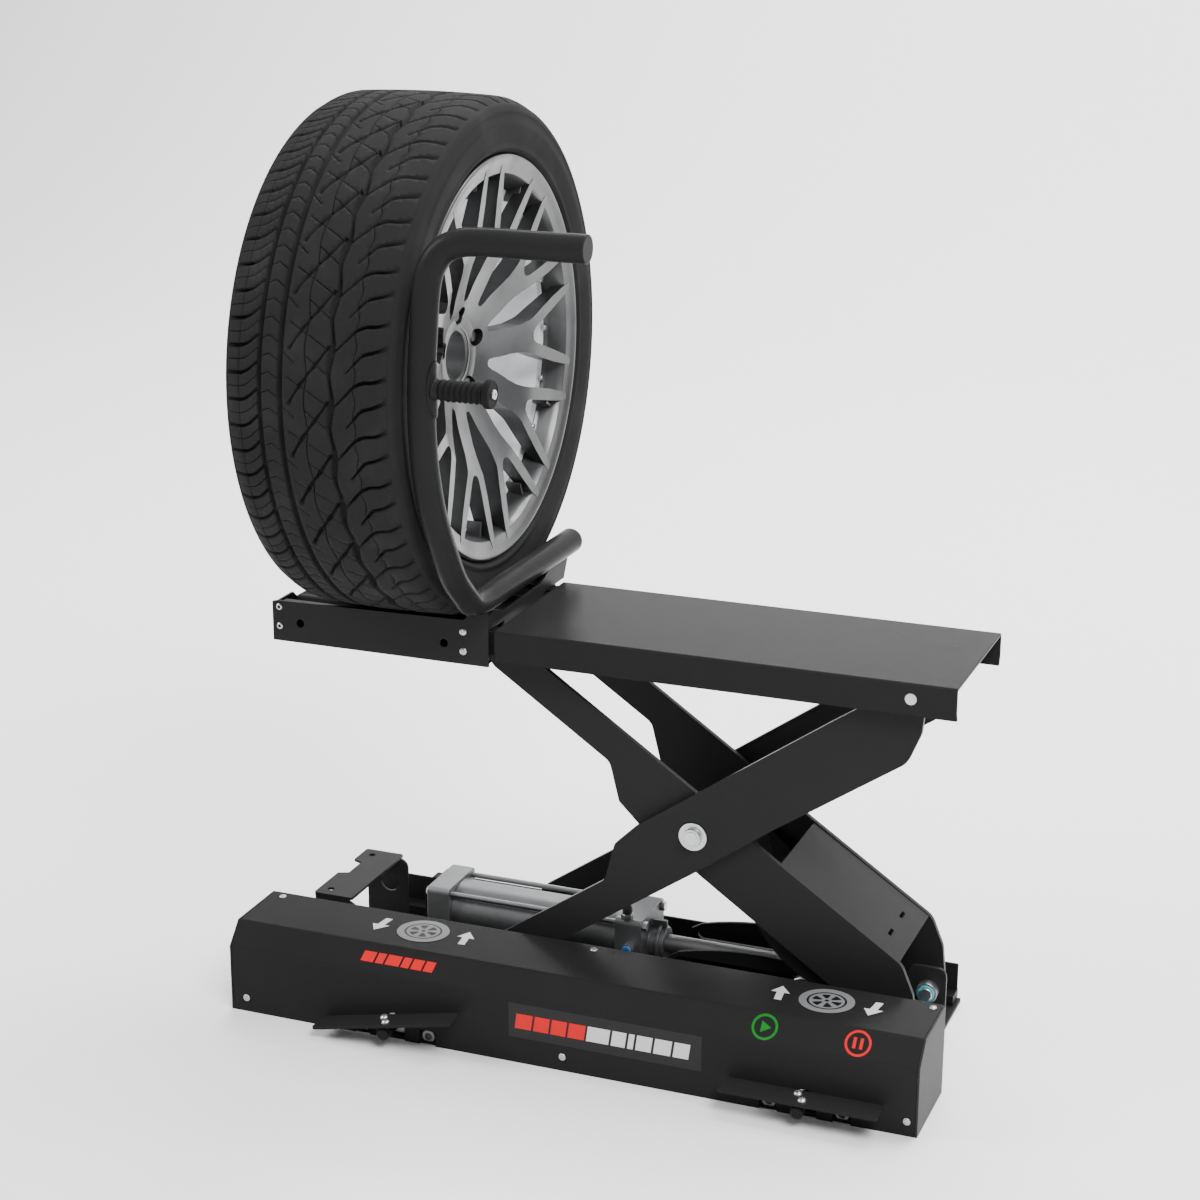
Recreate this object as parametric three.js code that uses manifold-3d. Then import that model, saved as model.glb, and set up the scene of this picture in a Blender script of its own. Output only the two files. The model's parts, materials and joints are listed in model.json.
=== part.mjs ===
// Pneumatic scissor wheel lift, raised, with a car wheel standing on its cradle.
// Millimetres, +Z up, +X towards the pivot end, -Y towards the pedals.
// The origin is on the floor, under the middle of the base and of the scissor.
import * as THREE from "three";
import Module from "manifold-3d";

const wasm = await Module();
wasm.setup();

// Overall sizes
const baseLength = 1000;
const frontDepth = 250;
const backDepth = 157;
const wheelRadius = 355;
const wheelWidth = 244;

// Pedal box
const armClearance = 15;
const coverTop = 128;
const coverFace = 97.5;
const bevelRun = 27;
const sheet = 3;

// Scissor: the insets are measured from the base's ends, with the lift lowered
const pivotInset = 63.5;
const rollerInset = 175.95;
const pivotZ = 63;
const armAngle = (39.24 * Math.PI) / 180;
const lowAngle = (8.16 * Math.PI) / 180;
const highAngle = (45.24 * Math.PI) / 180;
const armPlate = 8;
const outerFace = 103;
const innerFace = 87;
const pivotRadius = 10;
const topPinRadius = 8;
const topRollerRadius = 13;
const baseRollerRadius = 16;
const runGap = 0.4;

// Platform and cradle
const platformSheet = 4;
const platformClearance = 23;
const platformOverhang = 60.5;
const cradleMargin = 27;
const cradleTail = 58;
const seatRise = 12;
const seatRollerRadius = 16;
const seatRollerY = 55;

// Wheel and guard
const rimRadius = 277;
const hubBore = 34;
const guardTube = 18;
const guardBarRise = 67;
const handleRise = 209;
const handleInset = 69;
const handleLength = 212;

// Cylinder and its drive: the travel of the drive pin is a share of the arm's length
const boreRadius = 40;
const cylinderZ = 92;
const rodRadius = 12.5;
const driveShare = 0.41912;
const pinShare = 0.19068;
const pinRadius = 8;
const camRollerRadius = 18;

// Pedals
const pedalLength = 216;
const pedalDepth = 39;
const pedalZ = 25;
const leftPedalInset = 256.5;
const rightPedalInset = 151;
const pedalRock = (11.8 * Math.PI) / 180;

const gap = 0.4;
const half = baseLength / 2;
const pivotX = half - pivotInset;
const armLength = (baseLength - pivotInset - rollerInset) / Math.cos(lowAngle);
const topZ = pivotZ + armLength * Math.sin(armAngle);
const centreX = pivotX - (armLength / 2) * Math.cos(armAngle);
const centreZ = pivotZ + (armLength / 2) * Math.sin(armAngle);
const rollerX = pivotX - armLength * Math.cos(armAngle);
const trackReach = pivotX - armLength * Math.cos(lowAngle);
const trackNear = pivotX - armLength * Math.cos(highAngle);
const platformLeft = rollerX + 16.5;
const platformRight = pivotX + platformOverhang;
const platformTop = topZ + topRollerRadius + 4.5 + platformSheet;
const flange = outerFace + platformClearance;
const cradleRight = rollerX + 7.5;
const cradleLeft = cradleRight - cradleMargin - wheelWidth - cradleTail;
const railLeft = cradleLeft + 25;
const wheelX = cradleRight - cradleMargin - wheelWidth / 2;
const wheelZ = topZ + seatRise + wheelRadius;
const guardX = cradleRight - 4;
const guardBarZ = topZ + guardBarRise;
const driveRate = driveShare * armLength;
const pinX = pivotX - pinShare * armLength;
const leftPedalX = -half + leftPedalInset;
const rightPedalX = half - rightPedalInset;

const group = new THREE.Group();
const paint = { color: 0x26272a, roughness: 0.3, metalness: 0.1 };
const paintDark = { color: 0x1a1b1d, roughness: 0.42, metalness: 0.1 };
const steel = { color: 0xb4b6b8, roughness: 0.35, metalness: 0.9 };
const alloy = { color: 0x9a9c9e, roughness: 0.4, metalness: 0.85 };
const tyreRubber = { color: 0x232325, roughness: 0.85, metalness: 0 };
const gripRubber = { color: 0x161617, roughness: 0.7, metalness: 0 };
const rimAlloy = { color: 0x7d7f82, roughness: 0.35, metalness: 0.8 };
const nylon = { color: 0x2b2c2e, roughness: 0.6, metalness: 0 };

function add(name, geometry, look) {
  const mesh = new THREE.Mesh(geometry, new THREE.MeshStandardMaterial(look));
  mesh.name = name;
  group.add(mesh);
}

// Solids for cutting and joining
function solid(geometry) {
  const g = geometry.clone();
  g.deleteAttribute("normal");
  g.deleteAttribute("uv");
  const keys = new Map();
  const points = [];
  const faces = [];
  const pos = g.attributes.position;
  const order = g.index ? Array.from(g.index.array) : Array.from(pos.array.keys()).slice(0, pos.count);
  const ids = order.map((i) => {
    const p = [pos.getX(i), pos.getY(i), pos.getZ(i)];
    const key = p.map((v) => Math.round(v * 1e4)).join(",");
    if (!keys.has(key)) {
      keys.set(key, points.length / 3);
      points.push(...p);
    }
    return keys.get(key);
  });
  for (let i = 0; i < ids.length; i += 3) {
    const [a, b, c] = [ids[i], ids[i + 1], ids[i + 2]];
    if (a !== b && b !== c && a !== c) faces.push(a, b, c);
  }
  const mesh = new wasm.Mesh({
    numProp: 3,
    vertProperties: new Float32Array(points),
    triVerts: new Uint32Array(faces),
  });
  return new wasm.Manifold(mesh);
}

function geometryOf(body) {
  const mesh = body.getMesh();
  const g = new THREE.BufferGeometry();
  g.setAttribute("position", new THREE.BufferAttribute(new Float32Array(mesh.vertProperties), 3));
  g.setIndex(new THREE.BufferAttribute(new Uint32Array(mesh.triVerts), 1));
  g.computeVertexNormals();
  return g;
}

const join = (...parts) => geometryOf(parts.map(solid).reduce((a, b) => a.add(b)));
const cut = (part, ...tools) => geometryOf(tools.map(solid).reduce((a, b) => a.subtract(b), solid(part)));

function box(x0, x1, y0, y1, z0, z1) {
  const g = new THREE.BoxGeometry(x1 - x0, y1 - y0, z1 - z0);
  return g.translate((x0 + x1) / 2, (y0 + y1) / 2, (z0 + z1) / 2);
}

function circle(cx, cy, r) {
  const path = new THREE.Path();
  path.absarc(cx, cy, r, 0, Math.PI * 2, true);
  return path;
}

function shapeOf(points, holes = []) {
  const outline = points.map(([a, b]) => new THREE.Vector2(a, b));
  if (THREE.ShapeUtils.isClockWise(outline)) outline.reverse();
  const shape = new THREE.Shape(outline);
  shape.holes.push(...holes);
  return shape;
}

// A flat outline in X and Z, given thickness along Y
function plateXZ(points, y0, y1, holes = [], curveSegments = 10) {
  const g = new THREE.ExtrudeGeometry(shapeOf(points, holes), {
    depth: y1 - y0, bevelEnabled: false, curveSegments,
  });
  return g.rotateX(Math.PI / 2).translate(0, y1, 0);
}

// A flat outline in Y and Z, given length along X
function plateYZ(points, x0, x1, holes = [], curveSegments = 10) {
  const g = new THREE.ExtrudeGeometry(shapeOf(points, holes), {
    depth: x1 - x0, bevelEnabled: false, curveSegments,
  });
  const turn = new THREE.Matrix4().makeBasis(
    new THREE.Vector3(0, 1, 0), new THREE.Vector3(0, 0, 1), new THREE.Vector3(1, 0, 0));
  return g.applyMatrix4(turn).translate(x0, 0, 0);
}

// A turned shape about X or Y; the profile is distance along the axis and radius
function turned(axis, centre, profile, segments = 24) {
  const points = profile.map(([along, r]) => new THREE.Vector2(Math.max(r, 0), along));
  const g = new THREE.LatheGeometry(points, segments);
  if (axis === "x") g.rotateZ(-Math.PI / 2);
  return g.translate(...centre);
}

function rod(axis, centre, radius, from, to, segments = 20) {
  const profile = [[from, 0], [from, radius], [to, radius], [to, 0]];
  return turned(axis, centre, profile, segments);
}

// Corner rounding for plate outlines: [a, b, radius]
function rounded(corners, steps = 4) {
  const out = [];
  const n = corners.length;
  for (let i = 0; i < n; i++) {
    const [x, y, r = 0] = corners[i];
    if (r === 0) {
      out.push([x, y]);
      continue;
    }
    const p = new THREE.Vector2(x, y);
    const a = new THREE.Vector2(...corners[(i + n - 1) % n].slice(0, 2)).sub(p).normalize();
    const b = new THREE.Vector2(...corners[(i + 1) % n].slice(0, 2)).sub(p).normalize();
    const bend = Math.acos(THREE.MathUtils.clamp(a.dot(b), -1, 1)) / 2;
    const reach = r / Math.tan(bend);
    if (reach < 2.5) {
      out.push([x, y]);
      continue;
    }
    const start = p.clone().addScaledVector(a, reach);
    const end = p.clone().addScaledVector(b, reach);
    for (let k = 0; k <= steps; k++) {
      const t = k / steps;
      const u = start.clone().lerp(p, t);
      out.push(u.lerp(p.clone().lerp(end, t), t).toArray());
    }
  }
  return out;
}

// Tube along a list of points, with flat ends
function tube(points, radius, rings = 56) {
  const curve = new THREE.CatmullRomCurve3(points.map((p) => new THREE.Vector3(...p)), false, "centripetal");
  const section = new THREE.Shape();
  section.absarc(0, 0, radius, 0, Math.PI * 2, false);
  return new THREE.ExtrudeGeometry(section, {
    steps: rings, extrudePath: curve, curveSegments: 7, bevelEnabled: false,
  });
}

// ---- Base ----
const trayBack = backDepth - 2;
const trayLeft = -half + 40;
const trayRight = pivotX + 23.5;
const backOfCover = -outerFace - armClearance;
add("base_tray", plateXYTray(), paintDark);

function plateXYTray() {
  const inner = half - sheet - gap;
  const outline = [
    [-inner, -frontDepth + sheet + gap], [inner, -frontDepth + sheet + gap],
    [inner, backOfCover - 4], [trayRight, backOfCover + 6],
    [trayRight, trayBack], [trayLeft, trayBack],
    [trayLeft, backOfCover + 6], [-inner, backOfCover - 4],
  ];
  return new THREE.ExtrudeGeometry(shapeOf(outline), { depth: 6, bevelEnabled: false });
}

const floorZ = 6 + gap;
add("back_rail", plateYZ([
  [outerFace + 23, floorZ], [backDepth, floorZ], [backDepth, 20], [backDepth - 3, 20],
  [backDepth - 3, 60], [backDepth - 7, 60], [backDepth - 7, 20], [outerFace + 23, 20],
], trayLeft, trayRight - 5), paintDark);

const coverOuter = [
  [-frontDepth, 0], [-frontDepth, coverFace],
  [-frontDepth + bevelRun, coverTop - 0.5], [backOfCover, coverTop],
];
const coverInner = [
  [backOfCover, coverTop - sheet], [-frontDepth + bevelRun + 1.2, coverTop - sheet - 0.5],
  [-frontDepth + sheet, coverFace - 1.3], [-frontDepth + sheet, 0],
];
const coverEnd = half - sheet;
const coverSheet = plateYZ([...coverOuter, ...coverInner], -coverEnd + gap, coverEnd - gap);
const archPoints = (x, halfWidth, top) => {
  const out = [[x - halfWidth, -5]];
  for (let k = 0; k <= 8; k++) {
    const a = Math.PI - (Math.PI * k) / 8;
    out.push([x + halfWidth * Math.cos(a), top - halfWidth + halfWidth * Math.sin(a)]);
  }
  out.push([x + halfWidth, -5]);
  return out;
};
const notches = [leftPedalX, rightPedalX].flatMap((x) => [
  plateXZ(archPoints(x, 15, pedalZ + 15), -frontDepth - 5, -frontDepth + 8),
  box(x - 62, x - 38, -frontDepth - 5, -frontDepth + 8, -5, 22),
  box(x + 38, x + 62, -frontDepth - 5, -frontDepth + 8, -5, 22),
]);
add("front_cover", cut(coverSheet, ...notches), paint);
const capOutline = [...coverOuter, [backOfCover, 0]];
add("end_cap_left", plateYZ(capOutline, -half, -coverEnd), paint);
add("end_cap_right", plateYZ(capOutline, coverEnd, half), paint);

// Rest bracket under the cradle, with a bored cheek at each end
const restLeft = -half + 59;
const restRight = restLeft + 61;
const restTop = coverTop + 2;
const restPlate = new THREE.ExtrudeGeometry(shapeOf(rounded([
  [restLeft, -104, 4], [restRight, -104, 4], [restRight, 69, 4], [restLeft, 69, 4],
  [restLeft, 26], [restLeft + 15, 20, 3], [restLeft + 15, -22, 3], [restLeft, -28],
]), [circle(restLeft + 18, -85, 5), circle(restLeft + 18, 50, 5)]), { depth: 4, bevelEnabled: false })
  .translate(0, 0, restTop - 4);
const cheekOutline = rounded([
  [restLeft + 2, floorZ], [restRight + 8, floorZ], [restRight + 8, restTop - 12, 14],
  [restRight - 14, restTop - 2], [restLeft + 2, restTop - 2],
]);
const cheek = (y) => plateXZ(cheekOutline, y, y + 4, [circle(restRight - 22, 84, 15)]);
add("rest_bracket", join(restPlate, cheek(-104), cheek(65)), paint);

// Brackets of the lower pivots
const bracketInner = 52;
const bracketOutline = rounded([
  [pivotX - 32, floorZ], [pivotX + 24, floorZ], [pivotX + 24, pivotZ + 33, 14],
  [pivotX - 30, pivotZ + 33, 14],
]);
const lowerHole = circle(pivotX, pivotZ, pivotRadius + runGap);
add("pivot_bracket_front", plateXZ(bracketOutline, -bracketInner - 6, -bracketInner, [lowerHole]), paint);
add("pivot_bracket_back", plateXZ(bracketOutline, bracketInner, bracketInner + 6, [lowerHole]), paint);

function lowerPivot(side) {
  const profile = [
    [32, 0], [32, 9], [36, 9], [36, 15], [bracketInner - gap, 15], [bracketInner - gap, pivotRadius],
    [bracketInner + 6 + gap, pivotRadius], [bracketInner + 6 + gap, 15],
    [innerFace - armPlate - gap, 15], [innerFace - armPlate - gap, pivotRadius],
    [innerFace + gap, pivotRadius], [innerFace + gap, 14], [innerFace + 7.6, 14], [innerFace + 7.6, 0],
  ];
  return sided(profile, side, pivotX, pivotZ);
}
function sided(profile, side, x, z, segments = 16) {
  const g = profile.map(([a, r]) => [side * a, r]);
  if (side < 0) g.reverse();
  return turned("y", [x, 0, z], g, segments);
}
add("lower_pivot_front", lowerPivot(-1), steel);
add("lower_pivot_back", lowerPivot(1), steel);

// Tracks of the lower rollers
const trackIn = outerFace + 2;
const trackOut = outerFace + 22;
const trackLow = pivotZ - baseRollerRadius - 0.3;
const trackHigh = pivotZ + baseRollerRadius + 0.5;
function baseTrack(side) {
  const outline = [
    [trackIn, floorZ], [trackOut, floorZ], [trackOut, trackHigh + 4], [trackIn, trackHigh + 4],
    [trackIn, trackHigh], [trackOut - 4, trackHigh], [trackOut - 4, trackLow], [trackIn, trackLow],
    [trackIn, trackLow - 4], [trackOut - 4, trackLow - 4], [trackOut - 4, floorZ + 4], [trackIn, floorZ + 4],
  ].map(([y, z]) => [side * y, z]);
  return plateYZ(outline, trackReach - 26, trackNear + 26);
}
add("lower_track_front", baseTrack(-1), paintDark);
add("lower_track_back", baseTrack(1), paintDark);

// Cylinder fixed along the middle of the base
const headHalf = boreRadius + 8;
const slotFrom = pinX - driveRate * (armAngle - lowAngle) - 12;
const slotTo = pinX + driveRate * (highAngle - armAngle) + 12;
const frontHead = slotFrom - 98.5;
const rearHead = -half + 213.4;
function headOutline() {
  const c = headHalf;
  return rounded([
    [-c, cylinderZ - c, 9], [c, cylinderZ - c, 9], [c, cylinderZ + c, 9], [-c, cylinderZ + c, 9],
  ]);
}
add("cylinder_foot", plateYZ(rounded([
  [-40, floorZ], [40, floorZ], [40, cylinderZ + 42, 5], [-40, cylinderZ + 42, 5],
]), rearHead - 6 - gap, rearHead - gap), paintDark);
add("cylinder_rear_head", plateYZ(headOutline(), rearHead, rearHead + 34), alloy);
add("cylinder_barrel", turned("x", [0, 0, cylinderZ], [
  [rearHead + 34 + gap, boreRadius], [rearHead + 34 + gap, boreRadius + 4],
  [frontHead - gap, boreRadius + 4], [frontHead - gap, boreRadius],
  [rearHead + 34 + gap, boreRadius],
], 32), alloy);
const gland = rod("x", [0, 0, cylinderZ], 23, frontHead + 38, frontHead + 63, 24);
const glandBore = rod("x", [0, 0, cylinderZ], rodRadius + runGap, frontHead - 5, frontHead + 70, 24);
const headBlock = plateYZ(headOutline(), frontHead, frontHead + 40);
add("cylinder_front_head", cut(join(headBlock, gland), glandBore), alloy);

// Slotted guides of the drive pin, with arched tops
function guideOutline() {
  const out = [[slotFrom - 16, floorZ], [slotTo + 24, floorZ], [slotTo + 24, cylinderZ + 4]];
  for (let k = 0; k <= 12; k++) {
    const x = slotTo + 10 - ((slotTo - slotFrom + 10) * k) / 12;
    const t = (x - (slotFrom + slotTo) / 2) / ((slotTo - slotFrom) / 2 + 12);
    out.push([x, cylinderZ + 12 + 18 * (1 - t * t)]);
  }
  out.push([slotFrom - 16, cylinderZ + 6]);
  return out;
}
function guideSlot() {
  const path = new THREE.Path();
  path.absarc(slotFrom + 2, cylinderZ, pinRadius + runGap, Math.PI / 2, Math.PI * 1.5, false);
  path.absarc(slotTo - 2, cylinderZ, pinRadius + runGap, -Math.PI / 2, Math.PI / 2, false);
  path.closePath();
  return path;
}
add("drive_guide_front", plateXZ(guideOutline(), -53, -47, [guideSlot()]), paintDark);
add("drive_guide_back", plateXZ(guideOutline(), 47, 53, [guideSlot()]), paintDark);

// Rod with its piston, and the crosshead with the drive pin
const crossLeft = pinX - 28;
const pistonAt = frontHead - driveRate * (highAngle - armAngle) - 33;
add("piston_rod", turned("x", [0, 0, cylinderZ], [
  [pistonAt, 0], [pistonAt, boreRadius - 0.5], [pistonAt + 30, boreRadius - 0.5], [pistonAt + 30, rodRadius],
  [crossLeft - gap, rodRadius], [crossLeft - gap, 0],
], 24), steel);
add("crosshead", join(
  plateXZ(rounded([
    [crossLeft, cylinderZ - 20, 5], [pinX + 16, cylinderZ - 20, 8],
    [pinX + 16, cylinderZ + 20, 8], [crossLeft, cylinderZ + 20, 5],
  ]), -18, 18),
  rod("y", [pinX, 0, cylinderZ], pinRadius, -77, 77),
), alloy);
const camRoller = [
  [60, pinRadius + runGap], [60, camRollerRadius - 2], [61.5, camRollerRadius], [72.5, camRollerRadius],
  [74, camRollerRadius - 2], [74, pinRadius + runGap], [60, pinRadius + runGap],
];
add("cam_roller_front", sided(camRoller, -1, pinX, cylinderZ, 24), steel);
add("cam_roller_back", sided(camRoller, 1, pinX, cylinderZ, 24), steel);

// ---- Scissor arms ----
// Inner arm outline, set out from the ends and the centre of the arm
const along = [-Math.cos(armAngle), Math.sin(armAngle)];
const across = [Math.sin(armAngle), Math.cos(armAngle)];
const onArm = (a, b) => [
  pivotX + a * along[0] + b * across[0],
  pivotZ + a * along[1] + b * across[1],
];
const farEnd = (a) => armLength - a;
const share = (part) => part * armLength;
const armCorners = [
  [farEnd(-4), 12, 4], [share(0.889), 19.8], [share(0.548), 42.4, 60], [share(0.367), 50.8],
  [66, 70.5, 30], [26, 49, 24], [-pivotRadius, pivotRadius + 3, 10],
  [-pivotRadius - 3, -pivotRadius - 1, 12], [10, -pivotRadius - 8, 12], [share(0.151), -28, 60],
  [share(0.441), -46, 40], [share(0.582), -54, 12], [share(0.638), -50, 10], [share(0.698), -15.6, 20],
  [farEnd(28), -33.4], [farEnd(2.3), -29, 10], [farEnd(-13), -10, 8],
];
const innerOutline = rounded(armCorners.map(([a, b, r]) => [...onArm(a, b), r]));
const flip = ([x, z]) => [x, 2 * centreZ - z];
const outerOutline = innerOutline.map(flip);
const rollerPin = 6;
const innerHoles = [
  circle(pivotX, pivotZ, pivotRadius + runGap), circle(centreX, centreZ, pivotRadius + runGap),
  circle(rollerX, topZ, rollerPin + runGap),
];
const outerHoles = [
  circle(pivotX, topZ, topPinRadius + runGap), circle(centreX, centreZ, pivotRadius + runGap),
  circle(rollerX, pivotZ, rollerPin + runGap),
];
const armPlateXZ = (outline, holes, face, side) =>
  plateXZ(outline, side < 0 ? -face : face - armPlate, side < 0 ? -face + armPlate : face, holes, 8);
add("inner_arm_front", armPlateXZ(innerOutline, innerHoles, innerFace, -1), paint);
add("inner_arm_back", armPlateXZ(innerOutline, innerHoles, innerFace, 1), paint);
add("outer_arm_front", armPlateXZ(outerOutline, outerHoles, outerFace, -1), paint);
add("outer_arm_back", armPlateXZ(outerOutline, outerHoles, outerFace, 1), paint);

// Web between the inner arms, along their upper edges
const webIn = innerFace - armPlate - gap;
const webFrom = share(0.3566);
const webTo = 70;
const webPlate = plateXZ([
  onArm(webFrom, 44), onArm(webTo, 63.2), onArm(webTo, 69.2), onArm(webFrom, 50),
], -webIn, webIn);
const webSlot = (a, y) => plateXZ([
  onArm(a, 30), onArm(a - 5, 30), onArm(a - 5, 90), onArm(a, 90),
], y - 9, y + 9);
add("inner_web", cut(webPlate, webSlot(104, -30), webSlot(104, 30)), paint);

// Cam blocks: the lower edge is the path of the drive rollers as the arms rise
function camEdge() {
  const path = [];
  for (let k = 0; k <= 24; k++) {
    const angle = lowAngle + ((highAngle - lowAngle) * k) / 24;
    const dx = pivotX - (pinX + driveRate * (angle - armAngle));
    const dz = cylinderZ - pivotZ;
    path.push([
      dx * Math.cos(angle) + dz * Math.sin(angle),
      -dx * Math.sin(angle) + dz * Math.cos(angle),
    ]);
  }
  return path.map(([a, b], i) => {
    const [a0, b0] = path[Math.max(i - 1, 0)];
    const [a1, b1] = path[Math.min(i + 1, path.length - 1)];
    const size = Math.hypot(a1 - a0, b1 - b0);
    const off = camRollerRadius + 0.5;
    return [a + (off * (b1 - b0)) / size, b - (off * (a1 - a0)) / size];
  });
}
const camPoints = camEdge();
const camTop = camPoints[0][1] + 6;
const camOutline = [
  ...camPoints,
  [camPoints[camPoints.length - 1][0] - 4, camTop],
  [camPoints[0][0] + 6, camTop],
].map(([a, b]) => onArm(a, b));
add("cam_block_front", plateXZ(camOutline, -innerFace + armPlate + gap, -60), paintDark);
add("cam_block_back", plateXZ(camOutline, 60, innerFace - armPlate - gap), paintDark);

// Centre bolts, cross tube and rollers
const centreBolt = [
  [62, 0], [62, 9], [65, 9], [65, 15], [innerFace - armPlate - gap, 15],
  [innerFace - armPlate - gap, pivotRadius], [innerFace + gap, pivotRadius], [innerFace + gap, 16],
  [outerFace - armPlate - gap, 16], [outerFace - armPlate - gap, pivotRadius], [outerFace + gap, pivotRadius],
  [outerFace + gap, 20], [outerFace + 2.6, 20], [outerFace + 2.6, 13], [outerFace + 9.6, 13],
  [outerFace + 9.6, 0],
];
add("centre_bolt_front", sided(centreBolt, -1, centreX, centreZ), steel);
add("centre_bolt_back", sided(centreBolt, 1, centreX, centreZ), steel);
const crossAt = 58;
add("outer_cross_tube", rod("y", [
  pivotX - crossAt * Math.cos(armAngle), 0, topZ - crossAt * Math.sin(armAngle),
], 12, -(outerFace - armPlate - gap), outerFace - armPlate - gap), paintDark);
const railIn = innerFace + 5;
const railOut = flange - 9;
const topRoller = [
  [innerFace - armPlate - 3.4, 0], [innerFace - armPlate - 3.4, 10], [innerFace - armPlate - gap, 10],
  [innerFace - armPlate - gap, rollerPin], [innerFace + gap, rollerPin], [innerFace + gap, 9],
  [innerFace + 4, 9], [innerFace + 4, topRollerRadius], [railOut - 6.5, topRollerRadius],
  [railOut - 6.5, 0],
];
add("upper_roller_front", sided(topRoller, -1, rollerX, topZ), nylon);
add("upper_roller_back", sided(topRoller, 1, rollerX, topZ), nylon);
const baseRoller = [
  [outerFace - armPlate - 3.4, 0], [outerFace - armPlate - 3.4, 10],
  [outerFace - armPlate - gap, 10], [outerFace - armPlate - gap, rollerPin],
  [outerFace + gap, rollerPin], [outerFace + gap, 10], [outerFace + 3.5, 10],
  [outerFace + 3.5, baseRollerRadius], [trackOut - 5.5, baseRollerRadius], [trackOut - 5.5, 0],
];
add("lower_roller_front", sided(baseRoller, -1, rollerX, pivotZ), nylon);
add("lower_roller_back", sided(baseRoller, 1, rollerX, pivotZ), nylon);

// ---- Platform ----
function channelOutline() {
  const t = platformSheet;
  const f = flange;
  const low = topZ - 12;
  const right = [
    [f - 3, platformTop], [f, platformTop - 3], [f, low], [f - 4.5, low - 12], [f - 8.5, low - 12],
    [f - t, low + 1], [f - t, platformTop - t],
  ];
  const left = right.map(([y, z]) => [-y, z]).reverse();
  return [...left, ...right];
}
const channel = plateYZ(channelOutline(), platformLeft, platformRight);
const pivotHole = rod("y", [pivotX, 0, topZ], topPinRadius + runGap, -flange - 10, flange + 10);
add("platform", cut(channel, pivotHole), paint);
const topPivot = [
  [76, 0], [76, 8], [79, 8], [79, 14], [outerFace - armPlate - gap, 14],
  [outerFace - armPlate - gap, topPinRadius], [outerFace + gap, topPinRadius], [outerFace + gap, 10.5],
  [flange - platformSheet - gap, 10.5], [flange - platformSheet - gap, topPinRadius],
  [flange - 1, topPinRadius], [flange - 1, 0],
];
add("top_pivot_front", sided(topPivot, -1, pivotX, topZ), steel);
add("top_pivot_back", sided(topPivot, 1, pivotX, topZ), steel);

// Slide rails: the upper rollers run inside them and the cradle runs on them
function slideRail(side) {
  const high = topZ + topRollerRadius + 0.4;
  const low = topZ - topRollerRadius - 0.4;
  const outline = [
    [railIn, low - 3.6], [railOut, low - 3.6], [railOut, high + 3.6], [railIn, high + 3.6], [railIn, high],
    [railOut - 4, high], [railOut - 4, low], [railIn, low],
  ].map(([y, z]) => [side * y, z]);
  return plateYZ(outline, railLeft, trackNear + 30);
}
add("slide_rail_front", slideRail(-1), paintDark);
add("slide_rail_back", slideRail(1), paintDark);

// ---- Cradle ----
const cradleLow = topZ - 31.5;
const cradleHigh = topZ + 27;
const padLow = topZ - topRollerRadius - 4.5;
const lipLow = cradleLow;
const seatLow = topZ + topRollerRadius + 4.6;
const boltHoles = [circle(cradleLeft + 43, topZ - 3, 6), circle(cradleLeft + 263, topZ - 4.5, 6)];
const sideOutline = [
  [cradleLeft, cradleLow], [cradleRight, cradleLow], [cradleRight, guardBarZ - guardTube - 1.5],
  [cradleRight - 30, topZ + 38], [cradleRight - 36, topZ + 32], [cradleLeft + 8, cradleHigh],
  [cradleLeft, cradleHigh - 2],
];
function cradleSide(side) {
  const y0 = side < 0 ? -flange : flange - 4;
  const outline = side < 0 ? sideOutline : sideOutline.map(([x, z], i) =>
    [x === cradleRight ? cradleRight - 4 - gap : x, i === 2 ? topZ + 38.6 : z]);
  const plate = plateXZ(outline, y0, y0 + 4, boltHoles);
  const inner = flange - 4 + 0.5;
  const span = (a, b) => (side < 0 ? [-b, -a] : [a, b]);
  const [l0, l1] = span(flange - 22, inner);
  const [s0, s1] = span(flange - 30, inner);
  const right = cradleRight - 5;
  return join(
    plate,
    box(cradleLeft + 6, right, l0, l1, lipLow, lipLow + 4),
    box(cradleLeft + 10, cradleLeft + 50, l0, l1, lipLow + 3, padLow),
    box(right - 44, right - 4, l0, l1, lipLow + 3, padLow),
    box(cradleLeft + 6, right, s0, s1, seatLow, seatLow + 3.4),
  );
}
add("cradle_side_front", cradleSide(-1), paint);
add("cradle_side_back", cradleSide(1), paint);
const endIn = flange - 4 - gap;
const rollerEnd = wheelZ - Math.sqrt((wheelRadius + seatRollerRadius + 0.5) ** 2 - seatRollerY ** 2);
const pinHole = (y) => circle(y, rollerEnd, 5.4);
add("cradle_end_left", plateYZ([
  [-endIn, cradleLow + 4], [endIn, cradleLow + 4], [endIn, cradleHigh - 4], [70, cradleHigh - 4],
  [58, cradleHigh - 14], [-58, cradleHigh - 14], [-70, cradleHigh - 4], [-endIn, cradleHigh - 4],
], cradleLeft, cradleLeft + 4, [pinHole(-seatRollerY), pinHole(seatRollerY)]), paint);
const endLow = topZ + topRollerRadius + 6.5;
const tongue = seatRollerY + 16;
add("cradle_end_right", plateYZ([
  [-endIn, endLow], [-tongue, endLow], [-tongue, rollerEnd - 14], [tongue, rollerEnd - 14],
  [tongue, endLow], [flange + 22, endLow], [flange + 38, guardBarZ - guardTube - gap],
  [92, guardBarZ - guardTube - gap], [76, topZ + 41], [54, topZ + 35], [-70, topZ + 34],
  [-106, guardBarZ - guardTube - 3], [-endIn, topZ + 41],
], cradleRight - 4, cradleRight, [pinHole(-seatRollerY), pinHole(seatRollerY)]), paint);
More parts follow.
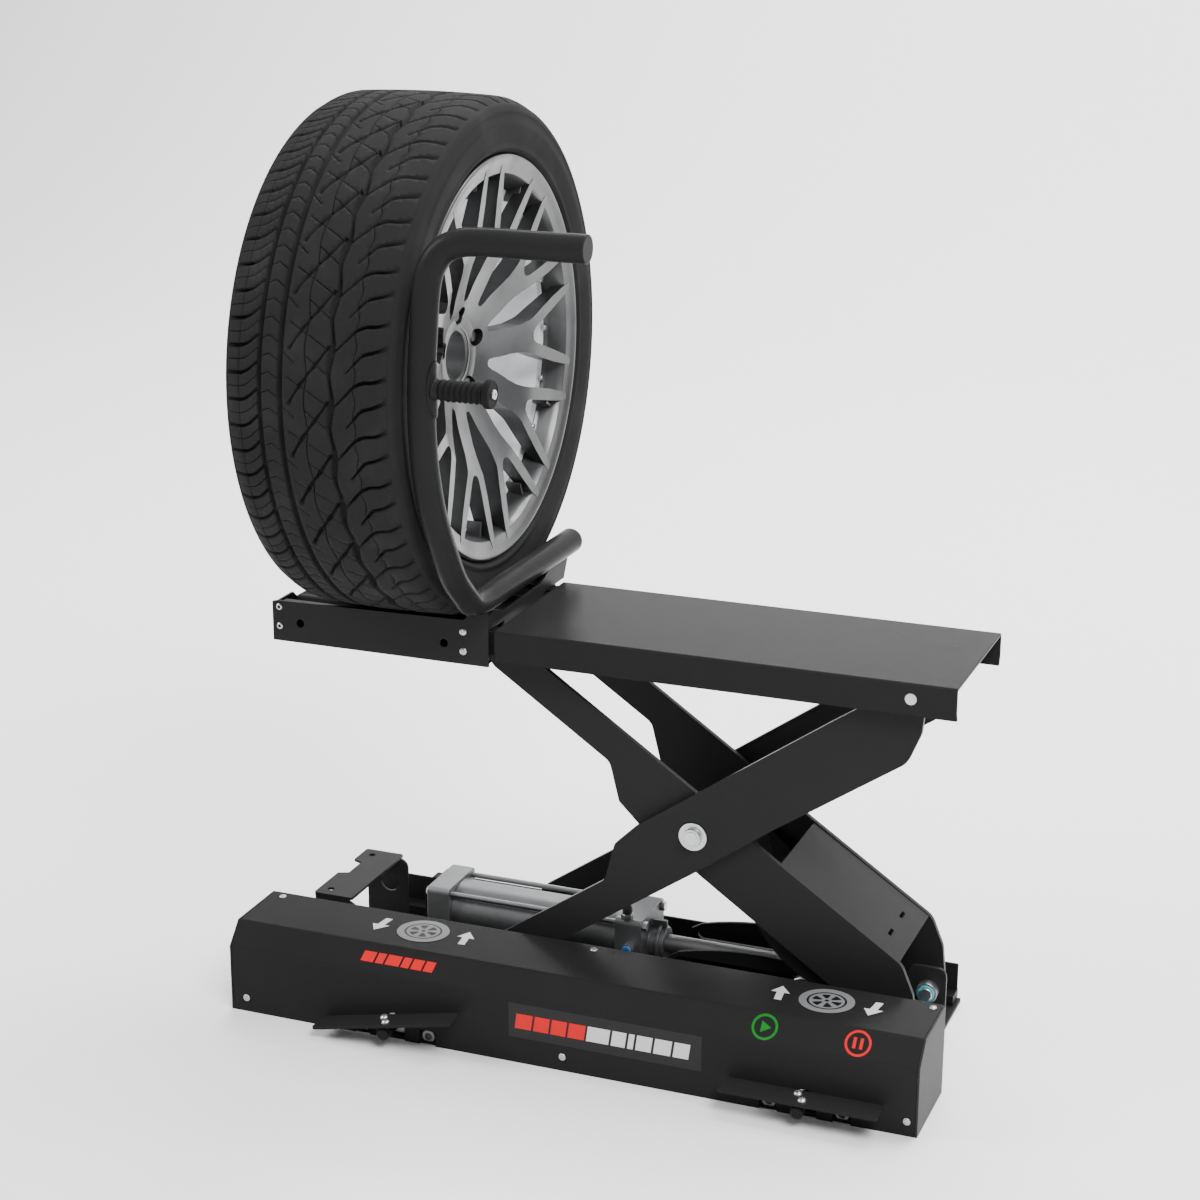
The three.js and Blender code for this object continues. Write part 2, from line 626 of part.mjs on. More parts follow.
function cradleRoller(y) {
  return turned("x", [0, y, rollerEnd], [
    [cradleLeft + 0.5, 0], [cradleLeft + 0.5, 5], [cradleLeft + 5, 5],
    [cradleLeft + 5, seatRollerRadius], [cradleRight - 5, seatRollerRadius],
    [cradleRight - 5, 5], [cradleRight - 0.5, 5], [cradleRight - 0.5, 0],
  ], 20);
}
add("cradle_roller_front", cradleRoller(-seatRollerY), steel);
add("cradle_roller_back", cradleRoller(seatRollerY), steel);

// Guard: one bent tube that follows the wheel's side, with a push bar at the top
const beside = (degrees, inset) => {
  const angle = (degrees * Math.PI) / 180;
  const r = wheelRadius - inset;
  return [guardX, -r * Math.cos(angle), wheelZ + r * Math.sin(angle)];
};
const handleY = -wheelRadius + handleInset;
const handleZ = wheelZ + handleRise;
const guardPath = [
  [guardX, 185, guardBarZ], [guardX, 90, guardBarZ], [guardX, 0, guardBarZ],
  [guardX, -90, guardBarZ], [guardX, -140, guardBarZ],
  beside(-59.7, 14.4), beside(-54.4, 18), beside(-47.2, 22.4), beside(-36.9, 32.2),
  beside(-25.7, 36.6), beside(-13.9, 39.7), beside(-2.9, 41.6), beside(8.1, 41), beside(18.1, 36.2),
  beside(25.7, 27.6), [guardX + 4, handleY - 4, handleZ - 39], [guardX + 19, handleY - 2, handleZ - 15],
  [guardX + 42, handleY - 1, handleZ - 3], [guardX + 70, handleY, handleZ],
  [guardX + 130, handleY, handleZ], [guardX + handleLength, handleY, handleZ],
];
add("guard_tube", tube(guardPath, guardTube), paint);

// Grip on its saddle
const [, gripY, gripZ] = beside(4.8, 42);
const saddleSolid = plateYZ(rounded([
  [gripY - 14, gripZ - 36, 10], [gripY + 14, gripZ - 36, 10],
  [gripY + 14, gripZ + 36, 10], [gripY - 14, gripZ + 36, 10],
]), guardX + 4, guardX + guardTube + 4);
const saddleBoss = rod("x", [0, gripY, gripZ], 15, guardX + 16, guardX + 26);
add("grip_saddle", cut(join(saddleSolid, saddleBoss),
  tube(guardPath, guardTube + 0.5)), paint);
const gripStart = guardX + 26.4;
const gripProfile = [[gripStart, 0], [gripStart, 14]];
for (let k = 0; k < 7; k++) {
  const x = gripStart + 3 + k * 8.2;
  gripProfile.push([x, 14], [x + 1.6, 11], [x + 4.4, 11], [x + 6, 14]);
}
const gripEnd = gripStart + 62;
gripProfile.push([gripEnd, 18.5], [gripEnd + 8, 18.5], [gripEnd + 9, 17], [gripEnd + 9, 0]);
add("grip", turned("x", [0, gripY, gripZ], gripProfile, 14), gripRubber);
add("grip_screw", turned("x", [0, gripY, gripZ], [
  [gripEnd + 9.4, 0], [gripEnd + 9.4, 6.5], [gripEnd + 12, 6.5], [gripEnd + 12, 3],
  [gripEnd + 10.6, 3], [gripEnd + 10.6, 0],
], 16), steel);

// ---- Wheel ----
const w = wheelWidth / 2;
const wall = wheelRadius - rimRadius;
const upWall = (part) => rimRadius + part * wall;
const tyreSide = [
  [w - 25, rimRadius - 14.4], [w - 13.4, rimRadius - 14.4], [w - 13.2, rimRadius - 1], [w - 2, upWall(0.3)],
  [w, upWall(0.5)], [w - 2.5, upWall(0.68)], [w - 9, upWall(0.853)], [w - 20, upWall(0.944)],
];
const tyreWall = [
  [w - 36, upWall(0.82)], [w - 15, upWall(0.62)], [w - 12, upWall(0.44)], [w - 25, rimRadius + 1],
];
const mirrored = (points) => points.map(([x, r]) => [-x, r]).reverse();
const tyreProfile = [
  ...tyreSide, [0, wheelRadius], ...mirrored(tyreSide), ...mirrored(tyreWall), ...tyreWall, tyreSide[0],
].reverse();
add("tyre", turned("x", [wheelX, 0, wheelZ], tyreProfile, 48), tyreRubber);

// Rim: a barrel with a flange at each side, and a dished face cut into twin spokes
const rimSide = [
  [w - 12.8, rimRadius - 15], [w - 12.8, rimRadius - 3], [w - 10, rimRadius], [w - 5, rimRadius - 2],
  [w - 5, rimRadius - 8], [w - 14, rimRadius - 25],
];
const barrel = turned("x", [wheelX, 0, wheelZ], [
  [30, rimRadius - 41], [60, rimRadius - 37], [w - 48, rimRadius - 15], ...rimSide,
  [w - 60, rimRadius - 48], [30, rimRadius - 53], [-40, rimRadius - 53], [-w + 42, rimRadius - 27],
  ...mirrored(rimSide), [-w + 38, rimRadius - 15], [-40, rimRadius - 41], [30, rimRadius - 41],
], 48);
const spokeEnd = rimRadius - 51;
const dish = turned("x", [wheelX, 0, wheelZ], [
  [20, 0], [20, 66], [w - 56, spokeEnd - 46], [w - 22, spokeEnd + 24], [w - 10, spokeEnd + 28],
  [w - 10, spokeEnd + 18], [w - 34, spokeEnd - 46], [48, 68], [40, 0],
], 32);
function window(angle, corners) {
  const turn = ([r, t]) => [r * Math.cos(angle + t), wheelZ + r * Math.sin(angle + t)];
  return plateYZ(corners.map(turn), wheelX - 10, wheelX + w + 8);
}
const wideWindow = [
  [96, -0.08], [140, -0.14], [spokeEnd - 6, -0.13], [spokeEnd, 0], [spokeEnd - 6, 0.13], [140, 0.14],
  [96, 0.08],
];
const slimWindow = [
  [168, -0.035], [spokeEnd - 6, -0.09], [spokeEnd - 2, 0], [spokeEnd - 6, 0.09], [168, 0.035],
];
const cuts = [rod("x", [0, 0, wheelZ], hubBore, wheelX - 10, wheelX + 60, 16)];
const spokeCount = 10;
const spokeTurn = 0.15;
for (let k = 0; k < spokeCount; k++) {
  const step = (Math.PI * 2) / spokeCount;
  cuts.push(window(k * step + spokeTurn, wideWindow));
  cuts.push(window((k + 0.5) * step + spokeTurn, slimWindow));
}
const boltCount = 5;
const boltCircle = 56;
for (let k = 0; k < boltCount; k++) {
  const a = (k * Math.PI * 2) / boltCount + 0.3;
  const place = [0, boltCircle * Math.cos(a), wheelZ + boltCircle * Math.sin(a)];
  cuts.push(rod("x", place, 8, wheelX - 10, wheelX + 80, 8));
}
add("rim", cut(join(barrel, dish), ...cuts), rimAlloy);

// ---- Pedals ----
function pedalPlate(x, rock) {
  const l = pedalLength / 2;
  const g = new THREE.ExtrudeGeometry(shapeOf(rounded([
    [-l, -pedalDepth, 6], [l, -pedalDepth, 6], [l, 0, 6], [-l, 0, 6],
  ])), { depth: 4, bevelEnabled: false }).translate(0, -frontDepth - 3, 11);
  return g.rotateY(-rock).translate(x, 0, pedalZ);
}
function pedalShaft(x, rock) {
  const block = box(-9, 9, -frontDepth - 36, -frontDepth - 6, 4, 11 - gap);
  return join(
    rod("y", [0, 0, 0], 9, -frontDepth - 40, -frontDepth + 36),
    block,
  ).rotateY(-rock).translate(x, 0, pedalZ);
}
function pedalBearing(x) {
  const y0 = -frontDepth + 10;
  return plateXZ(rounded([
    [x - 24, floorZ], [x + 24, floorZ], [x + 24, pedalZ + 20, 12], [x - 24, pedalZ + 20, 12],
  ]), y0, y0 + 20, [circle(x, pedalZ, 9.4)]);
}
add("pedal_left", pedalPlate(leftPedalX, pedalRock), paint);
add("pedal_shaft_left", pedalShaft(leftPedalX, pedalRock), paintDark);
add("pedal_bearing_left", pedalBearing(leftPedalX), steel);
add("pedal_right", pedalPlate(rightPedalX, 0), paint);
add("pedal_shaft_right", pedalShaft(rightPedalX, 0), paintDark);
add("pedal_bearing_right", pedalBearing(rightPedalX), steel);

export default group;
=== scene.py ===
"""A pneumatic scissor wheel lift carrying a car wheel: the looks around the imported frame."""

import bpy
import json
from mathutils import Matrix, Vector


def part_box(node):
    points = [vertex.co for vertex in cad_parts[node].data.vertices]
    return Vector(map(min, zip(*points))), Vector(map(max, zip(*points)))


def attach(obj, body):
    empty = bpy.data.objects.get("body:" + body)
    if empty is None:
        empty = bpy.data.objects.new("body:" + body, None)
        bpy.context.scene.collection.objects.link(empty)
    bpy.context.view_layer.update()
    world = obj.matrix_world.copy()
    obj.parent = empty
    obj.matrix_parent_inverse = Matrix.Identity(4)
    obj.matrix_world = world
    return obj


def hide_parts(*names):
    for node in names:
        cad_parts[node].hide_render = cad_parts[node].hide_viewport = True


bl_info = {
    "name": "Wheel Lift",
    "version": (1, 0, 0),
    "blender": (4, 5, 0),
    "location": "View3D > Sidebar > Wheel Lift",
    "description": "Builds the visible pieces of a scissor wheel lift around its frame",
    "category": "Object",
}

import json
import math

import bmesh
import bpy
import numpy as np
from bpy.props import FloatProperty, FloatVectorProperty, IntProperty, PointerProperty
from mathutils import Matrix, Vector

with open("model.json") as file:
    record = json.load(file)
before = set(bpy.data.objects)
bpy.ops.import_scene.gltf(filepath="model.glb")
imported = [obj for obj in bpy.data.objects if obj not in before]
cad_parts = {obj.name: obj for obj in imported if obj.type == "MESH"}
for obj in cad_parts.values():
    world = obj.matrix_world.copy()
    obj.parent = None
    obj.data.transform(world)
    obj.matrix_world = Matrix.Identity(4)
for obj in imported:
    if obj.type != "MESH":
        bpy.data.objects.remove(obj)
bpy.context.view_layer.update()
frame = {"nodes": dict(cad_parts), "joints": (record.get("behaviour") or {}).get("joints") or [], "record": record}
MM = 0.001
TAU = math.tau


# ---- Places read from the frame ----
def middle(node):
    low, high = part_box(node)
    return (low + high) / 2


def span(node):
    low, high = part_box(node)
    return high - low


WHEEL = middle("tyre")
WHEEL_RADIUS = span("tyre").z / 2
HALF_WIDTH = span("tyre").x / 2
RIM_RADIUS = span("rim").z / 2
COVER_LOW, COVER_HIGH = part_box("front_cover")
FRONT = COVER_LOW.y
COVER_TOP = COVER_HIGH.z
BEVEL_RUN = 27 * MM
BEVEL_FOOT = 97.5 * MM
BEVEL_RISE = COVER_TOP - 0.5 * MM - BEVEL_FOOT
GUARD_RADIUS = 18 * MM
PRINT_GAP = 0.00004
CLOSE = 1e-6
BODY_OF = {n: b for b, members in frame["record"]["behaviour"]["bodies"].items() for n in members}


# ---- Shader arithmetic ----
class Wire:
    """One output socket; arithmetic on it adds Math nodes to its tree."""

    def __init__(self, finish, socket):
        self.finish = finish
        self.socket = socket

    def math(self, operation, other):
        made = self.finish.node("ShaderNodeMath", {"operation": operation}, {0: self, 1: other})
        return Wire(self.finish, made.outputs[0])

    def __add__(self, other):
        return self.math("ADD", other)

    def __mul__(self, other):
        return self.math("MULTIPLY", other)

    def step(self, low, high):
        """0 below low, 1 above high, smooth between."""
        made = self.finish.node(
            "ShaderNodeMapRange", {"interpolation_type": "SMOOTHSTEP"},
            {"Value": self, "From Min": low, "From Max": high})
        return Wire(self.finish, made.outputs[0])


class Finish:
    """A material: constants go on the shader's own sockets, and what varies is fed by name."""

    def __init__(self, name, colour, roughness, metallic=0.0, **constants):
        self.material = bpy.data.materials.new(name)
        self.material.use_nodes = True
        self.material.diffuse_color = (*colour, 1.0)
        self.tree = self.material.node_tree
        self.shader = self.tree.nodes["Principled BSDF"]
        self.colour = (*colour, 1.0)
        values = {"Base Color": self.colour, "Roughness": roughness, "Metallic": metallic}
        values.update({key.replace("_", " ").title(): value for key, value in constants.items()})
        for key, value in values.items():
            self.shader.inputs[key.replace("Ior", "IOR")].default_value = value
        self.place = self.node("ShaderNodeTexCoord").outputs["Object"]

    def node(self, kind, settings=None, inputs=None):
        made = self.tree.nodes.new(kind)
        for key, value in (settings or {}).items():
            setattr(made, key, value)
        for key, value in (inputs or {}).items():
            if isinstance(value, Wire):
                value = value.socket
            if isinstance(value, bpy.types.NodeSocket):
                self.tree.links.new(value, made.inputs[key])
            else:
                made.inputs[key].default_value = value
        return made

    def noise(self, scale, detail=3.0, stretch=(1, 1, 1), rough=0.5):
        place = self.node("ShaderNodeMapping", None, {"Vector": self.place, "Scale": stretch})
        made = self.node("ShaderNodeTexNoise", None, {
            "Vector": place.outputs[0], "Scale": scale, "Detail": detail, "Roughness": rough})
        return Wire(self, made.outputs["Fac"])

    def cells(self, scale):
        made = self.node("ShaderNodeTexVoronoi", None, {"Vector": self.place, "Scale": scale})
        return Wire(self, made.outputs["Distance"])

    def mix(self, amount, a, b):
        made = self.node("ShaderNodeMix", {"data_type": "RGBA"}, {0: amount, 6: a, 7: b})
        return Wire(self, made.outputs[2])

    def feed(self, name, value):
        self.tree.links.new(value.socket, self.shader.inputs[name])

    def bump(self, height, depth, strength=1.0):
        made = self.node("ShaderNodeBump", None, {
            "Height": height, "Distance": depth, "Strength": strength})
        self.tree.links.new(made.outputs[0], self.shader.inputs["Normal"])


def shade(colour, factor):
    return (*[min(1.0, c * factor) for c in colour[:3]], 1.0)


def powder_coat(name, colour, roughness, peel=0.00006, sheen=0.06):
    """Sprayed and baked powder: a fine orange peel, faint dust and uneven gloss."""
    f = Finish(name, colour, roughness, specular_ior_level=sheen)
    dust = f.noise(9.0, 5.0).step(0.42, 0.75)
    grain = f.noise(2600.0, 2.0)
    f.feed("Base Color", f.mix(dust * 0.12 + grain * 0.2, shade(colour, 0.92), shade(colour, 1.4)))
    f.feed("Roughness", f.noise(26.0, 4.0) * 0.06 + dust * 0.02 + (roughness - 0.03))
    f.bump(f.noise(520.0, 2.0) + f.noise(1500.0, 1.0) * 0.4, peel)
    return f.material


def brushed(name, colour, roughness, along, depth=0.00002):
    """Plated or ground steel: fine streaks along one axis, with a light cloudiness."""
    f = Finish(name, colour, roughness, 1.0)
    stretch = [1.0 if axis == along else 22.0 for axis in "xyz"]
    streaks = f.noise(90.0, 4.0, stretch)
    cloud = f.noise(14.0, 3.0)
    f.feed("Base Color", f.mix(streaks * 0.6 + cloud * 0.4, shade(colour, 0.74), shade(colour, 1.16)))
    f.feed("Roughness", streaks * 0.16 + cloud * 0.10 + (roughness - 0.12))
    f.bump(streaks, depth)
    return f.material


def cast_alloy(name, colour, roughness, metallic=0.85):
    """Blasted alloy: a sandy grain, with shallow dull patches."""
    f = Finish(name, colour, roughness, metallic)
    grain = f.noise(900.0, 3.0)
    patch = f.noise(30.0, 4.0)
    f.feed("Base Color", f.mix(patch * 0.7 + grain * 0.3, shade(colour, 0.72), shade(colour, 1.2)))
    f.feed("Roughness", grain * 0.12 + patch * 0.14 + (roughness - 0.13))
    f.bump(grain + f.cells(420.0) * 0.5, 0.00009)
    return f.material


def lacquered(name, colour):
    """Silver lacquer over a cast wheel: metal flake under a clear coat, dull where brake dust sits."""
    f = Finish(name, colour, 0.36, 0.75, coat_weight=0.35, coat_roughness=0.15)
    flake = f.noise(3200.0, 1.0)
    dust = f.noise(18.0, 5.0).step(0.4, 0.8)
    flecked = f.mix(flake, shade(colour, 0.9), shade(colour, 1.22))
    f.feed("Base Color", f.mix(dust, flecked, shade(colour, 0.72)))
    f.feed("Roughness", flake * 0.08 + dust * 0.16 + 0.3)
    f.bump(f.noise(600.0, 2.0), 0.00004)
    return f.material


def rubber(name, colour, roughness, grain=0.00008, dusty=1.0):
    """Moulded rubber: a matt grain, with pale bloom in broad patches."""
    f = Finish(name, colour, roughness, specular_ior_level=0.05)
    bloom = f.noise(12.0, 6.0, (1, 1, 1), 0.6).step(0.45, 0.8)
    fine = f.noise(1100.0, 3.0)
    f.feed("Base Color", f.mix(bloom * 0.5 * dusty + fine * 0.25, shade(colour, 0.85), shade(colour, 1.8)))
    f.feed("Roughness", fine * 0.12 + bloom * 0.05 + (roughness - 0.08))
    f.bump(fine + f.noise(240.0, 2.0) * 0.6, grain)
    return f.material


def moulded(name, colour, roughness):
    """Moulded plastic with a faint spark-eroded texture."""
    f = Finish(name, colour, roughness)
    fine = f.noise(1400.0, 2.0)
    f.feed("Base Color", f.mix(fine, shade(colour, 0.9), shade(colour, 1.12)))
    f.feed("Roughness", fine * 0.1 + (roughness - 0.05))
    f.bump(fine, 0.00003)
    return f.material


def ink(name, colour):
    """Screen-printed vinyl: slightly uneven ink over a smooth film."""
    f = Finish(name, colour, 0.42, specular_ior_level=0.2)
    patch = f.noise(160.0, 3.0)
    f.feed("Base Color", f.mix(patch * 0.6, shade(colour, 0.9), shade(colour, 1.1)))
    f.feed("Roughness", patch * 0.12 + 0.34)
    f.bump(f.noise(900.0, 1.0), 0.00001)
    return f.material


def floor_paint(name, colour):
    """Matt floor paint with broad, faint clouds."""
    f = Finish(name, colour, 0.55)
    f.feed("Base Color", f.mix(f.noise(2.0, 4.0), shade(colour, 0.985), shade(colour, 1.0)))
    return f.material


FINISHES = {}


def finish(name):
    """The named material, made once from the scene's colour settings."""
    if name not in FINISHES:
        c = bpy.context.scene.lift_colours
        recipes = {
            "paint": lambda: powder_coat("black_powder_coat", c.paint, 0.36),
            "paint_gloss": lambda: powder_coat("gloss_powder_coat", c.paint, 0.25, 0.00003, 0.025),
            "paint_satin": lambda: powder_coat("satin_black_paint", shade(c.paint, 0.6)[:3], 0.46),
            "end_cap": lambda: powder_coat("grey_end_paint", c.end_cap, 0.4),
            "zinc": lambda: brushed("zinc_plate", c.steel, 0.34, "y"),
            "rod": lambda: brushed("ground_rod", shade(c.steel, 0.45)[:3], 0.45, "x", 0.00001),
            "barrel": lambda: brushed("anodised_barrel", c.alloy, 0.44, "x"),
            "cast": lambda: cast_alloy("blasted_alloy", c.alloy, 0.48),
            "rim": lambda: lacquered("rim_lacquer", c.rim),
            # A darker copy of the rim lacquer for the spokes' sides: painted shade.
            "spoke_side_painted_shade": lambda: lacquered("spoke_side_painted_shade_lacquer", shade(c.rim, 0.4)[:3]),
            "drum": lambda: cast_alloy("machined_barrel", shade(c.rim, 11.0)[:3], 0.55, 0.0),
            "tyre": lambda: rubber("tyre_rubber", c.tyre, 0.82),
            "grip": lambda: rubber("grip_rubber", shade(c.tyre, 0.6)[:3], 0.6, 0.00004, 0.3),
            "nylon": lambda: moulded("black_nylon", (0.02, 0.02, 0.022), 0.45),
            "cyan": lambda: moulded("nut_insert", (0.03, 0.35, 0.42), 0.4),
            "yellow": lambda: moulded("yellow_ring", (0.55, 0.33, 0.02), 0.4),
            "blue": lambda: moulded("blue_ring", (0.02, 0.12, 0.4), 0.4),
            "white": lambda: ink("white_ink", (0.6, 0.6, 0.6)),
            "red": lambda: ink("red_ink", (0.62, 0.003, 0.006)),
            "green": lambda: ink("green_ink", (0.002, 0.17, 0.012)),
            "grey": lambda: ink("grey_ink", (0.17, 0.172, 0.176)),
            "dark": lambda: ink("dark_ink", (0.006, 0.006, 0.0065)),
            "film": lambda: ink("film_ink", (0.012, 0.012, 0.0125)),
            "floor": lambda: floor_paint("studio_floor", c.floor),
        }
        FINISHES[name] = recipes[name]()
    return FINISHES[name]


# ---- Mesh helpers ----
def linked(name, mesh):
    obj = bpy.data.objects.new(name, mesh)
    bpy.context.scene.collection.objects.link(obj)
    return obj


def discard(obj):
    """Removes an object, and its mesh when nothing else uses it."""
    mesh = obj.data
    bpy.data.objects.remove(obj)
    if mesh.users == 0:
        bpy.data.meshes.remove(mesh)


def mm(points):
    """Pairs given in millimetres, in metres."""
    return [(a * MM, b * MM) for a, b in points]


def from_data(name, points, faces):
    mesh = bpy.data.meshes.new(name)
    mesh.from_pydata([tuple(p) for p in points], [], faces)
    return linked(name, mesh)


def outward(obj):
    """Merges doubles and points every face outwards."""
    bm = bmesh.new()
    bm.from_mesh(obj.data)
    bmesh.ops.remove_doubles(bm, verts=bm.verts, dist=CLOSE)
    bmesh.ops.recalc_face_normals(bm, faces=bm.faces)
    bm.to_mesh(obj.data)
    bm.free()
    return obj


def plain(obj):
    """Applies every modifier and leaves a plain mesh."""
    bpy.context.view_layer.update()
    graph = bpy.context.evaluated_depsgraph_get()
    mesh = bpy.data.meshes.new_from_object(obj.evaluated_get(graph))
    obj.modifiers.clear()
    old = obj.data
    obj.data = mesh
    if old.users == 0:
        bpy.data.meshes.remove(old)
    return obj


def eased(obj, width, segments=2, angle=30):
    """Rounds the sharp edges a little and shades the faces smoothly between them."""
    obj.data.shade_smooth()
    if width > 0:
        bevel = obj.modifiers.new("edge", "BEVEL")
        bevel.width = width
        bevel.segments = segments
        bevel.limit_method = "ANGLE"
        bevel.angle_limit = math.radians(angle)
        bevel.miter_outer = "MITER_ARC"
    weighted = obj.modifiers.new("normals", "WEIGHTED_NORMAL")
    weighted.keep_sharp = True
    weighted.weight = 80
    return plain(obj)


def join(name, parts):
    """One object from several, each part keeping its own material."""
    bm = bmesh.new()
    slots = []
    for part in parts:
        start = len(bm.faces)
        bm.from_mesh(part.data)
        bm.faces.ensure_lookup_table()
        own = list(part.data.materials) or [None]
        for face in bm.faces[start:]:
            material = own[min(face.material_index, len(own) - 1)]
            if material not in slots:
                slots.append(material)
            face.material_index = slots.index(material)
        discard(part)
    mesh = bpy.data.meshes.new(name)
    bm.to_mesh(mesh)
    bm.free()
    for material in slots:
        mesh.materials.append(material)
    return linked(name, mesh)


def painted(obj, finish_name):
    obj.data.materials.clear()
    obj.data.materials.append(finish(finish_name))
    return obj


def seat(obj, body, slot, *nodes):
    """Fixes a finished piece to a body, in place of the CAD nodes it stands for."""
    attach(obj, body)
    if nodes:
        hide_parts(*nodes)
    return obj


def seat_node(node, slot, *parts):
    """Joins the parts that show one CAD node and seats them on the node's own body."""
    return seat(join(node + "_finish", parts), BODY_OF[node], slot, node)


def merged_copy(node):
    """The node's CAD mesh with its doubled corners merged."""
    bm = bmesh.new()
    bm.from_mesh(frame["nodes"][node].data)
    bmesh.ops.remove_doubles(bm, verts=bm.verts, dist=CLOSE)
    return bm


def refined(node, edge, folds, fold_radius):
    """The CAD plate with eased edges; edges that folds() picks get the bend's radius first."""
    bm = merged_copy(node)
    bmesh.ops.dissolve_limit(bm, angle_limit=math.radians(0.6), verts=bm.verts, edges=bm.edges)
    if folds:
        picked = [e for e in bm.edges if len(e.link_faces) == 2 and folds(e.verts[0].co, e.verts[1].co)]
        bmesh.ops.bevel(
            bm, geom=picked, offset=fold_radius, offset_type="OFFSET", segments=5, profile=0.5,
            affect="EDGES", clamp_overlap=True)
    bm.verts.index_update()
    points = [v.co.copy() for v in bm.verts]
    faces = [[v.index for v in f.verts] for f in bm.faces]
    bm.free()
    return eased(from_data(node + "_finish", points, faces), edge)


def lathe(name, axis, centre, profile, segments=64):
    """Turns (distance along, radius) points about X or Y through centre."""
    points, faces, rings = [], [], []
    for along, radius in profile:
        count = 1 if radius < 1e-7 else segments
        rings.append((len(points), count))
        for k in range(count):
            c, s = radius * math.cos(TAU * k / segments), radius * math.sin(TAU * k / segments)
            offset = (along, c, s) if axis == "x" else (s, along, c)
            points.append(Vector(centre) + Vector(offset))
    closed = profile[0][1] > 1e-7
    pairs = list(zip(rings, rings[1:] + ([rings[0]] if closed else [])))
    for (a, na), (b, nb) in pairs:
        for k in range(segments):
            n = (k + 1) % segments
            if na == 1 and nb == 1:
                continue
            if na == 1:
                faces.append([a, b + n, b + k])
            elif nb == 1:
                faces.append([a + k, a + n, b])
            else:
                faces.append([a + k, a + n, b + n, b + k])
    return outward(from_data(name, points, faces))


def turned(node, axis, segments=64, edge=0.5 * MM):
    """A turned CAD piece again, with its own profile and a finer round."""
    bm = merged_copy(node)
    low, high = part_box(node)
    centre = (low + high) / 2
    across = [i for i in range(3) if i != "xyz".index(axis)]
    main = "xyz".index(axis)
    rows = {}
    for v in bm.verts:
        a, b = v.co[across[0]] - centre[across[0]], v.co[across[1]] - centre[across[1]]
        rows[v] = (math.hypot(a, b), math.atan2(a, b) % TAU)
    first = min(angle for radius, angle in rows.values() if radius > 1e-5)
    meridian = [v for v, (radius, angle) in rows.items()
                if radius < 1e-5 or abs(angle - first) < 1e-3]
    chosen = set(meridian)
    links = {v: [e.other_vert(v) for e in v.link_edges if e.other_vert(v) in chosen] for v in meridian}
    ends = [v for v in meridian if rows[v][0] < 1e-5]
    at = ends[0] if ends else meridian[0]
    path = [at]
    while True:
        steps = [v for v in links[path[-1]] if v not in path]
        if not steps:
            break
        steps.sort(key=lambda v: rows[v][0] < 1e-5)
        path.append(steps[0])
        if rows[steps[0]][0] < 1e-5:
            break
    profile = [(v.co[main], rows[v][0] if rows[v][0] > 1e-5 else 0.0) for v in path]
    bm.free()
    place = Vector(centre)
    place[main] = 0.0
    return eased(lathe(node + "_finish", axis, place, profile, segments), edge)


def smooth_path(points, count):
    """Points spread evenly along a centripetal spline through the given ones."""
    p = np.array([tuple(q) for q in points])
    p = np.vstack([2 * p[0] - p[1], p, 2 * p[-1] - p[-2]])
    line = []
    for i in range(1, len(p) - 2):
        knots = [0.0]
        for a, b in zip(p[i - 1:i + 2], p[i:i + 3]):
            knots.append(knots[-1] + np.linalg.norm(b - a) ** 0.5)
        for t in np.linspace(knots[1], knots[2], 12, endpoint=False):
            level = list(p[i - 1:i + 3])
            for width in (1, 2):
                level = [((knots[k + width] - t) * level[k] + (t - knots[k]) * level[k + 1])
                         / (knots[k + width] - knots[k]) for k in range(4 - width)]
            first, second = level
            line.append(((knots[2] - t) * first + (t - knots[1]) * second) / (knots[2] - knots[1]))
    line.append(p[-2])
    line = np.array(line)
    reach = np.concatenate([[0], np.cumsum(np.linalg.norm(np.diff(line, axis=0), axis=1))])
    even = np.linspace(0, reach[-1], count)
    return [Vector([np.interp(t, reach, line[:, k]) for k in range(3)]) for t in even]


def sweep(name, path, radius, segments):
    """A round tube with closed ends along a path, with no twist."""
    points, faces = [], []
    side = None
    count = len(path)
    rings = []
    for i, centre in enumerate(path):
        ahead = (path[min(i + 1, count - 1)] - path[max(i - 1, 0)]).normalized()
        if side is None:
            side = ahead.orthogonal().normalized()
        side = (side - ahead * side.dot(ahead)).normalized()
        up = ahead.cross(side)
        rings.append(len(points))
        for k in range(segments):
            turn = TAU * k / segments
            points.append(centre + side * (radius * math.cos(turn)) + up * (radius * math.sin(turn)))
    for a, b in zip(rings, rings[1:]):
        for k in range(segments):
            n = (k + 1) % segments
            faces.append([a + k, a + n, b + n, b + k])
    faces.append([rings[0] + k for k in reversed(range(segments))])
    faces.append([rings[-1] + k for k in range(segments)])
    return outward(from_data(name, points, faces))


def prism(name, outline, place, thickness):
    """A flat outline given thickness: place turns (a, b, height) into a point."""
    n = len(outline)
    points = [place(a, b, 0.0) for a, b in outline] + [place(a, b, thickness) for a, b in outline]
    faces = [list(range(n)), list(range(n, 2 * n))]
    faces += [[k, (k + 1) % n, n + (k + 1) % n, n + k] for k in range(n)]
    return outward(from_data(name, points, faces))


def arc(cx, cy, r, start, end, count):
    """Points along a circle's arc, both ends included."""
    steps = [start + (end - start) * k / count for k in range(count + 1)]
    return [(cx + r * math.cos(t), cy + r * math.sin(t)) for t in steps]


def disc(cx, cy, r, count=40):
    """A full circle, or a regular polygon when count is small."""
    return arc(cx, cy, r, 0, TAU * (count - 1) / count, count - 1)


def cut(obj, *cutters):
    """Takes closed meshes out of a closed mesh, one after another."""
    for cutter in cutters:
        hole = obj.modifiers.new("cut", "BOOLEAN")
        hole.operation = "DIFFERENCE"
        hole.solver = "MANIFOLD"
        hole.object = cutter
        plain(obj)
        discard(cutter)
    return obj


